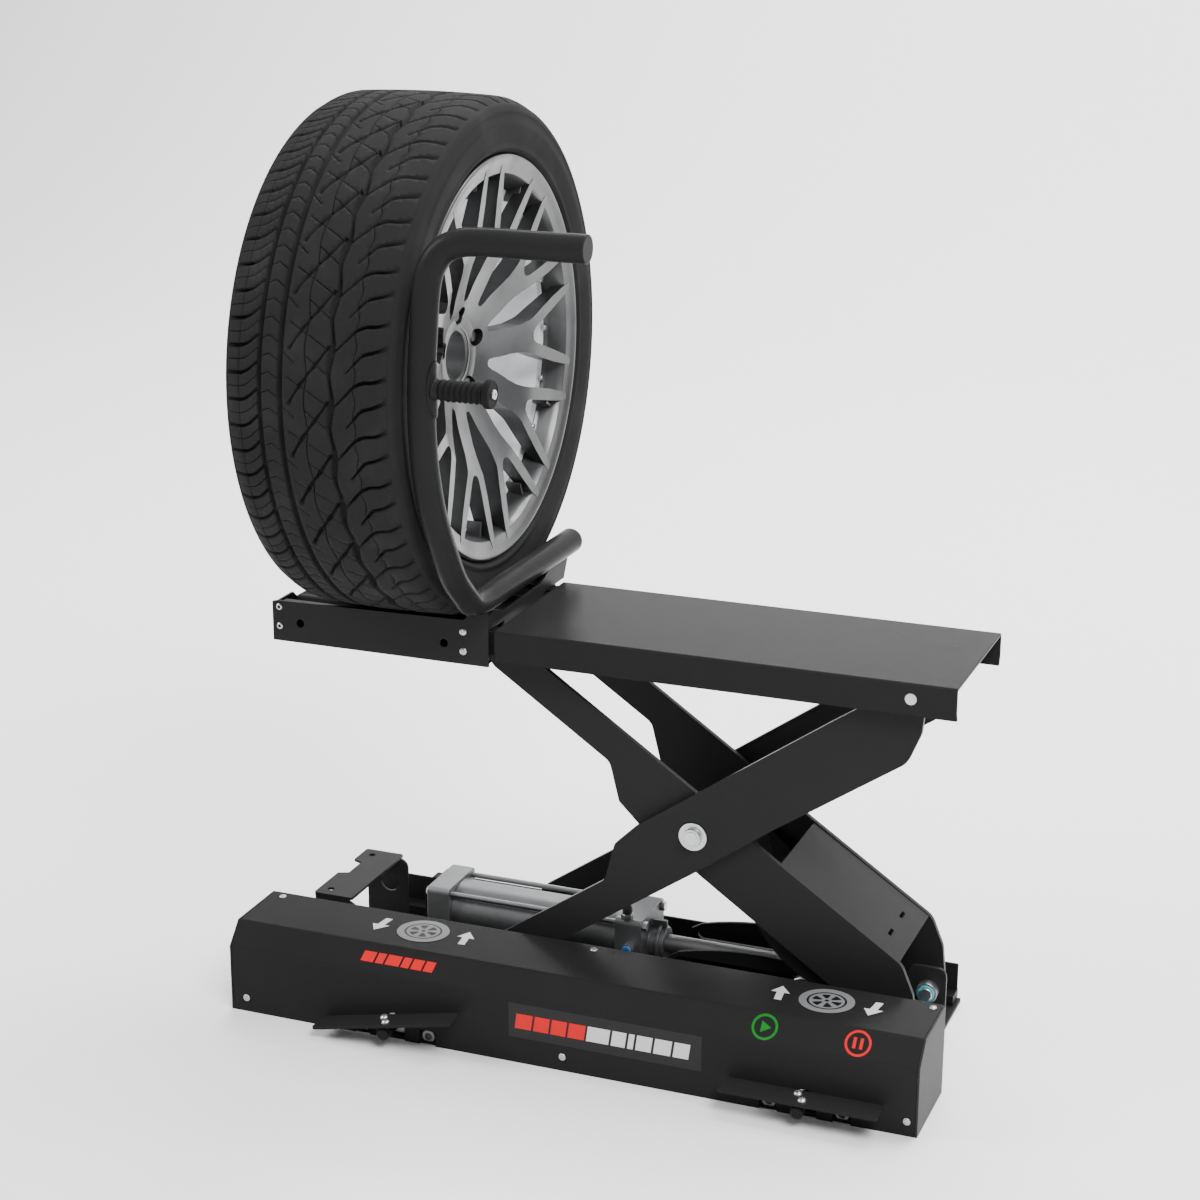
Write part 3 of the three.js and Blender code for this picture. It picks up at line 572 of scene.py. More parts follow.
# ---- Geometry Nodes for what repeats ----
def connect(tree, *links):
    """Links (node, its output, next node, its input), one after another."""
    for source, output, target, entry in links:
        tree.links.new(source.outputs[output], target.inputs[entry])


def tree_with(name, inputs):
    """A new tree with geometry in and out and the given inputs."""
    tree = bpy.data.node_groups.new(name, "GeometryNodeTree")
    tree.interface.new_socket(name="Geometry", in_out="INPUT", socket_type="NodeSocketGeometry")
    for label, kind in inputs:
        tree.interface.new_socket(name=label, in_out="INPUT", socket_type=kind)
    tree.interface.new_socket(name="Geometry", in_out="OUTPUT", socket_type="NodeSocketGeometry")
    return tree


def run_tree(obj, tree, values):
    modifier = obj.modifiers.new("repeat", "NODES")
    modifier.node_group = tree
    for item in tree.interface.items_tree:
        if item.in_out == "INPUT" and item.name in values:
            modifier[item.identifier] = values[item.name]
    return plain(obj)


def ring_tree():
    """Copies a piece round the X axis, moves the ring to its centre and merges what meets."""
    name = "ring_of_pieces"
    if name in bpy.data.node_groups:
        return bpy.data.node_groups[name]
    tree = tree_with(name, [
        ("Piece", "NodeSocketObject"), ("Count", "NodeSocketInt"), ("Start", "NodeSocketFloat"),
        ("Centre", "NodeSocketVector"), ("Merge Distance", "NodeSocketFloat"),
        ("Finish", "NodeSocketMaterial"),
    ])
    new = tree.nodes.new
    given, out = new("NodeGroupInput"), new("NodeGroupOutput")
    line, index = new("GeometryNodeMeshLine"), new("GeometryNodeInputIndex")
    line.inputs["Offset"].default_value = (0, 0, 0)
    share, turn, shift = new("ShaderNodeMath"), new("ShaderNodeMath"), new("ShaderNodeMath")
    share.operation, turn.operation, shift.operation = "DIVIDE", "MULTIPLY", "ADD"
    turn.inputs[1].default_value = TAU
    euler, info = new("ShaderNodeCombineXYZ"), new("GeometryNodeObjectInfo")
    info.inputs["As Instance"].default_value = True
    place, real = new("GeometryNodeInstanceOnPoints"), new("GeometryNodeRealizeInstances")
    move, merge = new("GeometryNodeTransform"), new("GeometryNodeMergeByDistance")
    coat = new("GeometryNodeSetMaterial")
    connect(
        tree, (given, "Count", line, "Count"), (index, 0, share, 0), (given, "Count", share, 1),
        (share, 0, turn, 0), (turn, 0, shift, 0), (given, "Start", shift, 1), (shift, 0, euler, "X"),
        (given, "Piece", info, "Object"), (line, "Mesh", place, "Points"),
        (info, "Geometry", place, "Instance"), (euler, 0, place, "Rotation"), (place, 0, real, 0),
        (real, 0, move, "Geometry"), (given, "Centre", move, "Translation"),
        (move, 0, merge, "Geometry"), (given, "Merge Distance", merge, "Distance"),
        (merge, 0, coat, "Geometry"), (given, "Finish", coat, "Material"), (coat, 0, out, 0))
    return tree


def ring(name, piece, count, centre, finish_name, start=0.0, merge=1e-7):
    """A ring of copies of a piece that is modelled about the origin's X axis."""
    obj = from_data(name, [(0, 0, 0)], [])
    run_tree(obj, ring_tree(), {
        "Piece": piece, "Count": count, "Start": start, "Centre": tuple(centre),
        "Merge Distance": merge, "Finish": finish(finish_name)})
    discard(piece)
    return obj


def spots_tree():
    """Puts a piece on every point, turned by the point's own angles."""
    name = "pieces_at_points"
    if name in bpy.data.node_groups:
        return bpy.data.node_groups[name]
    tree = tree_with(name, [("Piece", "NodeSocketObject"), ("Finish", "NodeSocketMaterial")])
    new = tree.nodes.new
    given, out = new("NodeGroupInput"), new("NodeGroupOutput")
    turn, info = new("GeometryNodeInputNamedAttribute"), new("GeometryNodeObjectInfo")
    turn.data_type = "FLOAT_VECTOR"
    turn.inputs["Name"].default_value = "turn"
    info.inputs["As Instance"].default_value = True
    place, real = new("GeometryNodeInstanceOnPoints"), new("GeometryNodeRealizeInstances")
    coat = new("GeometryNodeSetMaterial")
    connect(
        tree, (given, "Geometry", place, "Points"), (given, "Piece", info, "Object"),
        (info, "Geometry", place, "Instance"), (turn, "Attribute", place, "Rotation"),
        (place, 0, real, 0), (real, 0, coat, "Geometry"), (given, "Finish", coat, "Material"),
        (coat, 0, out, 0))
    return tree


def spots(name, piece, places, finish_name):
    """Copies of a piece modelled up the Z axis: each place is (point, direction that Z takes)."""
    obj = from_data(name, [p for p, _ in places], [])
    turns = obj.data.attributes.new("turn", "FLOAT_VECTOR", "POINT")
    for k, (_, towards) in enumerate(places):
        turns.data[k].vector = Vector(towards).to_track_quat("Z", "Y").to_euler()
    run_tree(obj, spots_tree(), {"Piece": piece, "Finish": finish(finish_name)})
    discard(piece)
    return obj


def upright(name, profile, segments=32):
    """Turns (height, radius) points about the origin's Z axis."""
    obj = lathe(name, "x", (0, 0, 0), profile, segments)
    obj.data.transform(Matrix.Rotation(-math.pi / 2, 4, "Y"))
    return obj


def socket_screw(radius, height):
    """A cap head with a hexagon socket."""
    body = upright("screw", [(0, 0), (0, radius), (height * 0.75, radius), (height, radius * 0.86),
                             (height, 0)], 32)
    key = prism("key", disc(0, 0, radius * 0.5, 6), lambda a, b, h: (a, b, h + height * 0.45), height)
    return eased(cut(body, key), radius * 0.05, 2)


def dome_screw(radius, height):
    """A domed head with a cross recess."""
    dome = [(height * math.sin(t), radius * math.cos(t)) for t in np.linspace(0, math.pi / 2 - 0.12, 9)]
    body = upright("screw", [(-height * 0.2, 0), (-height * 0.2, radius)] + dome + [(height, 0)], 32)
    arm, wide = radius * 0.62, radius * 0.14
    bars = [[(-arm, -wide), (arm, -wide), (arm, wide), (-arm, wide)],
            [(-wide, -arm), (wide, -arm), (wide, arm), (-wide, arm)]]
    for k, bar in enumerate(bars):
        cut(body, prism("slot", bar, lambda a, b, h: (a, b, h + height * 0.5), height))
    return eased(body, radius * 0.03, 1)


def hex_head(radius, height):
    """A hexagon head with chamfered corners."""
    nut = prism("hex", disc(0, 0, radius, 6), lambda a, b, h: (a, b, h), height)
    return eased(nut, radius * 0.09, 3)


# ---- Settings a user would change ----
def colour_setting(name, description, default):
    return FloatVectorProperty(
        name=name, description=description, default=default, min=0, max=1, subtype="COLOR")


def length_setting(name, description, default, low, high):
    return FloatProperty(
        name=name, description=description, default=default, min=low, max=high, unit="LENGTH")


class LiftColours(bpy.types.PropertyGroup):
    paint: colour_setting("Powder coat", "Black coat of the plates and tubes", (0.0165, 0.0166, 0.017))
    end_cap: colour_setting("End cap", "Grey coat of the pedal box's right end", (0.026, 0.0262, 0.0266))
    steel: colour_setting("Steel", "Zinc-plated bolts and pins", (0.55, 0.56, 0.57))
    alloy: colour_setting("Cylinder alloy", "Heads and barrel of the air cylinder", (0.2, 0.204, 0.208))
    rim: colour_setting("Rim", "Silver-grey lacquer of the rim", (0.068, 0.069, 0.071))
    tyre: colour_setting("Tyre", "Tread and sidewall rubber", (0.0165, 0.0163, 0.0165))
    floor: colour_setting("Floor", "Studio floor", (0.93, 0.93, 0.93))


class WheelSizes(bpy.types.PropertyGroup):
    units: IntProperty(
        name="Tread units", description="Repeats of the tread round the tyre", default=32, min=8, max=48)
    groove: length_setting("Groove depth", "Depth of the main grooves", 0.0075, 0.002, 0.009)
    sipe: length_setting("Sipe width", "Width of the fine cuts", 0.0011, 0.0004, 0.003)
    spokes: IntProperty(
        name="Twin spokes", description="Forked spokes of the rim", default=10, min=5, max=12)
    spoke_depth: length_setting("Spoke depth", "Thickness of a spoke at the hub", 0.032, 0.01, 0.05)


class PlateSizes(bpy.types.PropertyGroup):
    edge: length_setting("Edge radius", "Easing of the plates' cut edges", 0.0007, 0.0001, 0.002)
    fold: length_setting("Bend radius", "Outside radius of the folded sheet", 0.0035, 0.001, 0.01)
    print_depth: length_setting(
        "Film thickness", "Thickness of the printed films", 0.00015, 0.00005, 0.001)


# ---- Tyre ----
def crown(x):
    """Radius of the tread's surface at a distance from the wheel's middle."""
    out = max(0.0, abs(x) / MM - 92)
    return WHEEL_RADIUS - (3.0 * (x / MM / 100) ** 2 + 0.0275 * out ** 1.9) * MM


def ribbon(points, width, unit, depth, through=False):
    """A groove's cutters: a strip of that width along points, and its copies whole units away.
    A groove that runs right through the tile needs no copies."""
    thickness = 11 * MM
    p = [Vector(q).to_2d() * MM for q in points]
    widths = width if isinstance(width, (list, tuple)) else [width] * len(p)
    left, right = [], []
    for i, q in enumerate(p):
        ahead = (p[min(i + 1, len(p) - 1)] - p[max(i - 1, 0)]).normalized()
        side = Vector((-ahead.y, ahead.x)) * widths[i] * MM / 2
        left.append(q + side)
        right.append(q - side)
    outline = left + right[::-1]
    low, high = min(q.y for q in outline), max(q.y for q in outline)
    copies = [0]
    if not through:
        copies = [k for k in range(-3, 4) if high + k * unit > 0 and low + k * unit < unit]
    return [prism("groove", [(q.x, q.y + k * unit) for q in outline],
                  lambda a, b, h: (a, b, h - depth), thickness) for k in copies]


def wavy(points, steps=5):
    """A smooth line through points given as (x, v)."""
    line = smooth_path([(x, v, 0) for x, v in points], steps * (len(points) - 1) + 1)
    return [(q.x, q.y) for q in line]


def tread_tile(unit, groove, sipe):
    """One repeat of the tread, flat: X across, Y along the circumference, Z outwards."""
    half, across, along, deep = 112 * MM, 28, 14, 9.5 * MM
    xs = [half * (2 * i / across - 1) for i in range(across + 1)]
    ys = [unit * j / along for j in range(along + 1)]
    points, faces = [], []
    for z in (0.0, -deep):
        points += [(x, y, z) for y in ys for x in xs]
    n, layer = across + 1, (across + 1) * (along + 1)
    for j in range(along):
        for i in range(across):
            a = j * n + i
            faces.append([a, a + 1, a + n + 1, a + n])
            faces.append([layer + a, layer + a + n, layer + a + n + 1, layer + a + 1])
    for i in range(across):
        for j, flip in ((0, False), (along, True)):
            a = j * n + i
            side = [a + 1, a, layer + a, layer + a + 1]
            faces.append(side[::-1] if flip else side)
    for j in range(along):
        for i, flip in ((0, True), (across, False)):
            a = j * n + i
            side = [a + n, a, layer + a, layer + a + n]
            faces.append(side[::-1] if flip else side)
    tile = outward(from_data("tread_tile", points, faces))
    u = unit / MM
    pitch = u / 2
    thin, shallow = sipe / MM, groove * 0.55
    rings = [([(x, -20), (x, u + 20)], width, groove) for x, width in ((-62, 8), (-32.5, 9))]
    cuts = []
    weave = [(38 + 2.4 * math.sin(TAU * v / u + 0.6), v) for v in np.linspace(-u * 0.3, u * 1.3, 33)]
    rings.append((weave, [8.5 + 2.2 * math.sin(TAU * v / u + 2.2) for _, v in weave], groove))
    rings.append(([(-91, -20), (-91, u + 20)], thin, shallow))
    bend = [(71 + 1.8 * math.sin(TAU * v / u * 2), v) for v in np.linspace(-u * 0.3, u * 1.3, 41)]
    rings.append((bend, thin * 1.3, shallow))
    shoulder = wavy([(-118, -1), (-102, 0), (-90, 0.5), (-80, 4), (-70, 12), (-64, 18)])
    for k in range(2):
        cuts.append(([(x, v + k * pitch) for x, v in shoulder], [5.6] * 14 + [4.4] * 12, groove))
        cuts.append(([(x, v + (k + 0.5) * pitch) for x, v in shoulder], thin, shallow))
    for k in range(3):
        v = (k + 0.5) * u / 3
        cuts.append(([(-60, v), (-48, v + 5), (-36, v - 3)], thin, shallow))
    diagonal = wavy([(-21, 0), (-12, pitch * 0.42), (4, pitch * 1.05), (20, pitch * 1.62),
                     (36, pitch * 2.25)])
    cuts.append((diagonal, [6.4 - 2.6 * abs(math.sin(3 * math.pi * k / (len(diagonal) - 1)))
                            for k in range(len(diagonal))], groove))
    link_line = wavy([(6, pitch * 1.12), (4, pitch * 1.5), (1.5, pitch * 2.1), (3, pitch * 2.6),
                      (5.5, pitch * 3.05)])
    cuts.append((link_line, 2.0, groove * 0.8))
    for x0, v0, x1, v1 in ((-29, 0.92, -12, 0.52), (2, 0.86, 33, 0.22), (-22, 0.02, 2, -0.38),
                           (6, -0.42, 34, -0.9)):
        cuts.append(([(x0, v0 * pitch + pitch), (x1, v1 * pitch + pitch)], thin, shallow))
    lateral = wavy([(42, 0), (57, 15.4), (71, 29.6), (84, 35.5), (97, 36.7), (110, 42), (114, 45)])
    cuts.append((lateral, [3.0] * 8 + [4.2] * 7 + [5.2] * 16, groove))
    short = wavy([(59, -25), (71, -11), (82, 0), (95, 4), (107, 9.5), (114, 15)])
    cuts.append((short, [2.6] * 6 + [4.2] * 6 + [5.2] * 14, groove))
    for line, width, depth in rings:
        cut(tile, *ribbon(line, width, unit, depth, True))
    for line, width, depth in cuts:
        cut(tile, *ribbon(line, width, unit, depth))
    bm = bmesh.new()
    bm.from_mesh(tile.data)
    ends = [f for f in bm.faces
            if any(all(abs(v.co.y - end) < 1e-7 for v in f.verts) for end in (0.0, unit))]
    bmesh.ops.delete(bm, geom=ends, context="FACES")
    bmesh.ops.triangulate(bm, faces=bm.faces)
    around = unit * bpy.context.scene.lift_wheel.units / TAU
    for v in bm.verts:
        radius, turn = crown(v.co.x) + v.co.z, v.co.y / around
        v.co = Vector((v.co.x, -radius * math.cos(turn), radius * math.sin(turn)))
    bm.to_mesh(tile.data)
    bm.free()
    return tile


def carcass():
    """Sidewalls, beads and lining, with raised rings on the outer wall."""
    w, r, rim = HALF_WIDTH / MM, WHEEL_RADIUS / MM, RIM_RADIUS / MM
    side = [(w - 25, rim - 14.4), (w - 14, rim - 14.4), (w - 13.6, rim - 4), (w - 12, rim + 0.5),
            (w - 7, rim + 3.5), (w - 3.6, rim + 7), (w - 2.8, rim + 10), (w - 4.4, rim + 12.2),
            (w - 4.0, rim + 16), (w - 1.6, rim + 26), (w - 0.4, rim + 36), (w - 0.2, rim + 41),
            (w - 1.3, rim + 41.6), (w - 1.8, rim + 48), (w - 3.2, rim + 54), (w - 2.4, rim + 54.6),
            (w - 3.6, rim + 59), (w - 6, rim + 63.6), (w - 8.6, rim + 66.3), (w - 12, rim + 66.5)]
    wall = [(w - 36, rim + 62), (w - 15, rim + 48), (w - 12, rim + 34), (w - 25, rim + 1)]
    flip = [(-x, q) for x, q in side][::-1]
    profile = side + [(0, r - 9)] + flip + [(-x, q) for x, q in wall][::-1] + wall
    return eased(lathe("carcass", "x", WHEEL, mm(profile), 144), 0)


class LIFT_OT_tyre(bpy.types.Operator):
    """Builds the tyre: a grooved tread round a moulded carcass"""
    bl_idname = "lift.tyre"
    bl_label = "Tyre"

    def execute(self, context):
        sizes = context.scene.lift_wheel
        unit = TAU * WHEEL_RADIUS / sizes.units
        tile = tread_tile(unit, sizes.groove, sizes.sipe)
        tread = outward(ring("tread", tile, sizes.units, WHEEL, "tyre", merge=2e-6))
        tyre = join("tyre_finish", [tread, painted(carcass(), "tyre")])
        tyre.data.set_sharp_from_angle(angle=math.radians(28))
        seat(tyre, "wheel", "tyre", "tyre")
        return {"FINISHED"}


# ---- Rim ----
def dish(r):
    """Distance of the spokes' outer face from the wheel's middle, by radius in millimetres."""
    radii, heights = zip(
        (0, 50), (52, 52), (62, 58), (80, 66), (100, 73), (120, 81), (140, 90), (160, 98), (185, 102),
        (220, 107), (250, 111.5), (264, 114), (279, 116))
    return float(np.interp(r, radii, heights)) * MM


def polar(points, steps):
    """A closed outline through (radius, degrees) corners, with straight runs between them split up."""
    out = []
    for (r0, a0), (r1, a1) in zip(points, points[1:] + points[:1]):
        for k in range(steps):
            t = k / steps
            r, a = r0 + (r1 - r0) * t, math.radians(a0 + (a1 - a0) * t)
            out.append((r * math.cos(a) * MM, r * math.sin(a) * MM))
    return out


def lug_pockets(place, length):
    """Five round cutters on the bolt circle."""
    return join("pockets", [
        prism("pocket", disc(56 * MM * math.cos(t), 56 * MM * math.sin(t), 12.5 * MM, 28), place, length)
        for t in [TAU * k / 5 + 0.3 for k in range(5)]])


def spoke_face(count, depth):
    """The dished face, cut into forked spokes; modelled about the X axis."""
    rings = [38, 44, 50, 58, 68, 80, 92, 104, 118, 132, 146, 160, 174, 188, 202, 216, 228, 240, 250, 260,
             269, 276]
    segments = 180
    points, faces = [], []
    for level in (1, 0):
        for r in rings:
            for k in range(segments):
                a = TAU * k / segments
                points.append((level * 0.1, r * MM * math.cos(a), r * MM * math.sin(a)))
    layer = len(rings) * segments
    for j in range(len(rings) - 1):
        for k in range(segments):
            n = (k + 1) % segments
            a, b = j * segments + k, j * segments + n
            c, d = b + segments, a + segments
            faces.append([a, b, c, d])
            faces.append([layer + d, layer + c, layer + b, layer + a])
    for j in (0, len(rings) - 1):
        for k in range(segments):
            a, b = j * segments + k, j * segments + (k + 1) % segments
            faces.append([a, b, layer + b, layer + a])
    face = outward(from_data("spoke_face", points, faces))

    def place(a, b, h):
        return (h - 0.05, a, b)

    step = 360 / count
    wide = [(77, 0), (77.4, 2.2), (79, 3.9), (86, 5.4), (99, 6.6), (118, 8.8), (135, 9.7), (155, 9.0),
            (185, 6.7), (215, 5.3), (245, 4.7), (282, 4.6)]
    window = polar(wide + [(r, -a) for r, a in wide[:0:-1]], 3)
    fork = [(160, 0), (160.5, 1.5), (162.5, 2.7), (169, 4.1), (182, 5.5), (202, 7.2), (225, 8.8),
            (250, 10.4), (268, 11.9), (282, 12.9)]
    slot = polar(fork + [(r, -a) for r, a in fork[:0:-1]], 3)
    for outline, turn in ((window, step / 2 + 1), (slot, 1)):
        tools = []
        for k in range(count):
            spin = Matrix.Rotation(math.radians(k * step + turn), 2)
            turned_outline = [tuple(spin @ Vector(q)) for q in outline]
            tools.append(prism("window", turned_outline, place, 0.3))
        cut(face, join("windows", tools))
    cut(face, lug_pockets(place, 0.3))
    bm = bmesh.new()
    bm.from_mesh(face.data)
    for v in bm.verts:
        r = math.hypot(v.co.y, v.co.z) / MM
        thick = np.interp(r, [60, 150, 230, 276], [depth, depth * 0.9, depth * 0.6, 3 * MM])
        v.co.x = dish(r) - (0 if v.co.x > 0.05 else thick)
    bmesh.ops.dissolve_degenerate(bm, dist=1e-5, edges=bm.edges)
    bm.to_mesh(face.data)
    bm.free()
    face.data.transform(Matrix.Translation(WHEEL))
    return eased(face, 1.7 * MM, 3, 48)


def barrel_ring():
    """The rim's barrel with its two lips; the inside is left as machined."""
    w, rim = HALF_WIDTH / MM, RIM_RADIUS / MM
    lip = [(w - 13.6, rim - 15), (w - 13.4, rim - 4), (w - 12, rim - 1), (w - 9, rim), (w - 6, rim - 0.8),
           (w - 4.6, rim - 3), (w - 4.8, rim - 7.5), (w - 7.5, rim - 12), (w - 9.5, rim - 18),
           (w - 11, rim - 26)]
    outer = [(30, rim - 41), (58, rim - 38), (w - 50, rim - 26), (w - 38, rim - 15)]
    inner = [(w - 20, rim - 31), (w - 36, rim - 34), (w - 42, rim - 38), (w - 44, rim - 50), (30, rim - 53),
             (-30, rim - 53), (-50, rim - 50), (-w + 46, rim - 36), (-w + 34, rim - 25)]
    back = [(-x, q) for x, q in lip][::-1]
    tail = [(-w + 38, rim - 15), (-w + 50, rim - 26), (-45, rim - 40)]
    profile = outer + lip + inner + back + tail
    obj = painted(eased(lathe("barrel", "x", WHEEL, mm(profile), 144), 0.7 * MM), "rim")
    obj.data.materials.append(finish("drum"))
    for face in obj.data.polygons:
        centre = face.center - WHEEL
        if abs(centre.x) < (w - 43) * MM and math.hypot(centre.y, centre.z) < (rim - 44) * MM:
            face.material_index = 1
    return obj


def block(name, low, high, edge=0.6 * MM):
    """A bevelled block between two corners."""
    x0, y0, z0 = low
    x1, y1, z1 = high
    outline = [(x0, y0), (x1, y0), (x1, y1), (x0, y1)]
    return eased(prism(name, outline, lambda a, b, h: (a, b, z0 + h), z1 - z0), edge)


class LIFT_OT_rim(bpy.types.Operator):
    """Builds the alloy rim: barrel, forked spokes, hub and lug seats"""
    bl_idname = "lift.rim"
    bl_label = "Rim"

    def execute(self, context):
        sizes = context.scene.lift_wheel
        w, rim = HALF_WIDTH / MM, RIM_RADIUS / MM
        face = painted(spoke_face(sizes.spokes, sizes.spoke_depth), "rim")
        # Faces that do not face out along X, mostly the spokes' sides, get the darker lacquer: painted shade.
        face.data.materials.append(finish("spoke_side_painted_shade"))
        for polygon in face.data.polygons:
            polygon.material_index = int(polygon.normal.x < 0.35)
        barrel = barrel_ring()
        rib = block("rib", ((w - 44) * MM, -2.2 * MM, (rim - 53) * MM),
                    ((w - 21) * MM, 2.2 * MM, (rim - 30) * MM))
        ribs = ring("ribs", rib, 2 * sizes.spokes, WHEEL, "rim", start=math.radians(9))
        stud = socket_screw(4.2 * MM, 4 * MM)
        stud.data.transform(Matrix.Rotation(math.pi / 2, 4, "Y"))
        stud.data.transform(Matrix.Translation(((w - 40) * MM, 0, (rim - 44) * MM)))
        studs = ring("studs", stud, 2 * sizes.spokes, WHEEL, "zinc", start=math.radians(18))
        hub = lathe("hub", "x", WHEEL, mm([
            (18, 34), (18, 66), (34, 68), (47, 68), (53, 65), (54.5, 60), (54, 46), (51.5, 42), (50, 37),
            (48, 34)]), 96)
        pockets = lug_pockets(
            lambda a, b, h: (WHEEL.x + 28 * MM + h, WHEEL.y + a, WHEEL.z + b), 0.06)
        hub = painted(eased(cut(hub, pockets), 0.9 * MM), "rim")
        lug = upright("lug", mm([(0, 0), (0, 10.5), (3, 10.5), (4, 8.6), (22, 8.4), (24, 7), (24, 0)]), 28)
        lug.data.transform(Matrix.Rotation(math.pi / 2, 4, "Y"))
        lug.data.transform(Matrix.Translation((28.2 * MM, 0, 56 * MM)))
        seats = ring("seats", lug, 5, WHEEL, "nylon", start=TAU / 4 - 0.3)
        seat_node("rim", "rim_alloy", face, barrel, ribs, studs, hub, seats)
        return {"FINISHED"}


# ---- Guard and grip ----
def guard_path():
    """Centre line of the guard: the low bar, the hoop round the tyre, then the top handle."""
    low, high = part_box("guard_tube")
    gx, bar = low.x + GUARD_RADIUS, low.z + GUARD_RADIUS
    hoop = ((-59.7, 14.4), (-54.4, 18), (-47.2, 22.4), (-36.9, 32.2), (-25.7, 36.6), (-13.9, 39.7),
            (-2.9, 41.6), (8.1, 41), (18.1, 36.2), (25.7, 27.6))
    path = [(gx, high.y, bar)] + [(gx, y * MM, bar) for y in (90, 0, -90, -140)]
    for degrees, inset in hoop:
        a, r = math.radians(degrees), WHEEL_RADIUS - inset * MM
        path.append((gx, -r * math.cos(a), WHEEL.z + r * math.sin(a)))
    y, z = -WHEEL_RADIUS + 69 * MM, WHEEL.z + 209 * MM
    for dx, dy, dz in ((4, -4, -39), (19, -2, -15), (42, -1, -3), (70, 0, 0), (130, 0, 0), (212, 0, 0)):
        path.append((gx + dx * MM, y + dy * MM, z + dz * MM))
    return path


class LIFT_OT_guard(bpy.types.Operator):
    """Builds the bent guard tube with its capped ends"""
    bl_idname = "lift.guard"
    bl_label = "Guard"

    def execute(self, context):
        tube = sweep("tube", smooth_path(guard_path(), 260), GUARD_RADIUS, 48)
        seat_node("guard_tube", "black_paint", painted(eased(tube, 1.6 * MM, 3), "paint_gloss"))
        return {"FINISHED"}


class LIFT_OT_grip(bpy.types.Operator):
    """Builds the ribbed side grip, its saddle and its screw"""
    bl_idname = "lift.grip"
    bl_label = "Grip"

    def execute(self, context):
        low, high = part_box("grip")
        centre = middle("grip")
        ribs, run = 8, (high.x - 9 * MM) - low.x
        pitch = run / ribs
        profile = [(0, 0), (0, 11.2)]
        for k in range(ribs):
            x = k * pitch / MM
            profile += [(x + 0.5, 11.4), (x + 1.4, 13.2), (x + 2.6, 13.9), (x + 4.4, 13.9), (x + 5.6, 13.2),
                        (x + pitch / MM - 0.6, 11.4)]
        end = run / MM
        profile += [(end, 13), (end, 17.4), (end + 0.8, 18.4), (end + 7.4, 18.4), (end + 8.4, 17.6),
                    (end + 8.8, 14.8), (end + 8.2, 13.8), (end + 8.2, 0)]
        grip = lathe("grip_body", "x", (low.x, centre.y, centre.z), mm(profile), 48)
        seat_node("grip", "grip_rubber", painted(eased(grip, 0.3 * MM), "grip"))

        tube_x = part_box("guard_tube")[0].x + GUARD_RADIUS
        points, faces, rows, columns = [], [], 28, 14
        for layer in (19.9 * MM, 18.3 * MM):
            for i in range(rows + 1):
                z = -36 * MM + 72 * MM * i / rows
                wide = 15.5 * MM * math.sqrt(max(0.02, 1 - (z / (36.4 * MM)) ** 2))
                for j in range(columns + 1):
                    side = wide * (2 * j / columns - 1)
                    a = side / (19 * MM)
                    points.append((tube_x + layer * math.cos(a), centre.y + layer * math.sin(a),
                                   centre.z + z))
        n, size = columns + 1, (rows + 1) * (columns + 1)
        for i in range(rows):
            for j in range(columns):
                a = i * n + j
                faces.append([a, a + 1, a + n + 1, a + n])
                faces.append([size + a + n, size + a + n + 1, size + a + 1, size + a])
        edge = (list(range(n)) + [i * n + columns for i in range(1, rows + 1)]
                + [rows * n + j for j in range(columns - 1, -1, -1)]
                + [i * n for i in range(rows - 1, 0, -1)])
        for a, b in zip(edge, edge[1:] + edge[:1]):
            faces.append([a, size + a, size + b, b])
        plate = painted(eased(outward(from_data("saddle", points, faces)), 0), "paint_gloss")
        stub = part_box("grip_saddle")[1].x - tube_x
        boss = lathe("boss", "x", (tube_x, centre.y, centre.z), [
            (17 * MM, 0), (17 * MM, 14 * MM), (20.2 * MM, 14 * MM), (21.5 * MM, 12.6 * MM), (stub, 12.4 * MM),
            (stub, 0)], 48)
        boss = painted(eased(boss, 0.5 * MM), "paint_gloss")
        seat_node("grip_saddle", "black_paint", plate, boss)

        screw_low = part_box("grip_screw")[0]
        key = spots("screw", socket_screw(6.4 * MM, 3.4 * MM),
                    [((screw_low.x - 1.2 * MM, centre.y, centre.z), (1, 0, 0))], "zinc")
        seat(key, "cradle", "zinc_steel", "grip_screw")
        return {"FINISHED"}


# ---- Plates ----
def keep_shape(node, finish_name, slot, folds=None, edge=None, extra=()):
    """A CAD plate with eased edges in its own finish, with small fittings that ride on it."""
    sizes = bpy.context.scene.lift_plates
    width = sizes.edge if edge is None else edge
    plate = painted(refined(node, width, folds, sizes.fold), finish_name)
    piece = join(node + "_piece", [plate, *extra])
    seat(piece, BODY_OF[node], slot, node)


def along_x(y_range, z_range):
    """Picks edges that run along X inside a window of Y and Z, in millimetres."""
    def picks(a, b):
        if abs(a.y - b.y) > 1e-5 or abs(a.z - b.z) > 1e-5 or abs(a.x - b.x) < 0.02:
            return False
        return y_range[0] < a.y / MM < y_range[1] and z_range[0] < a.z / MM < z_range[1]
    return picks


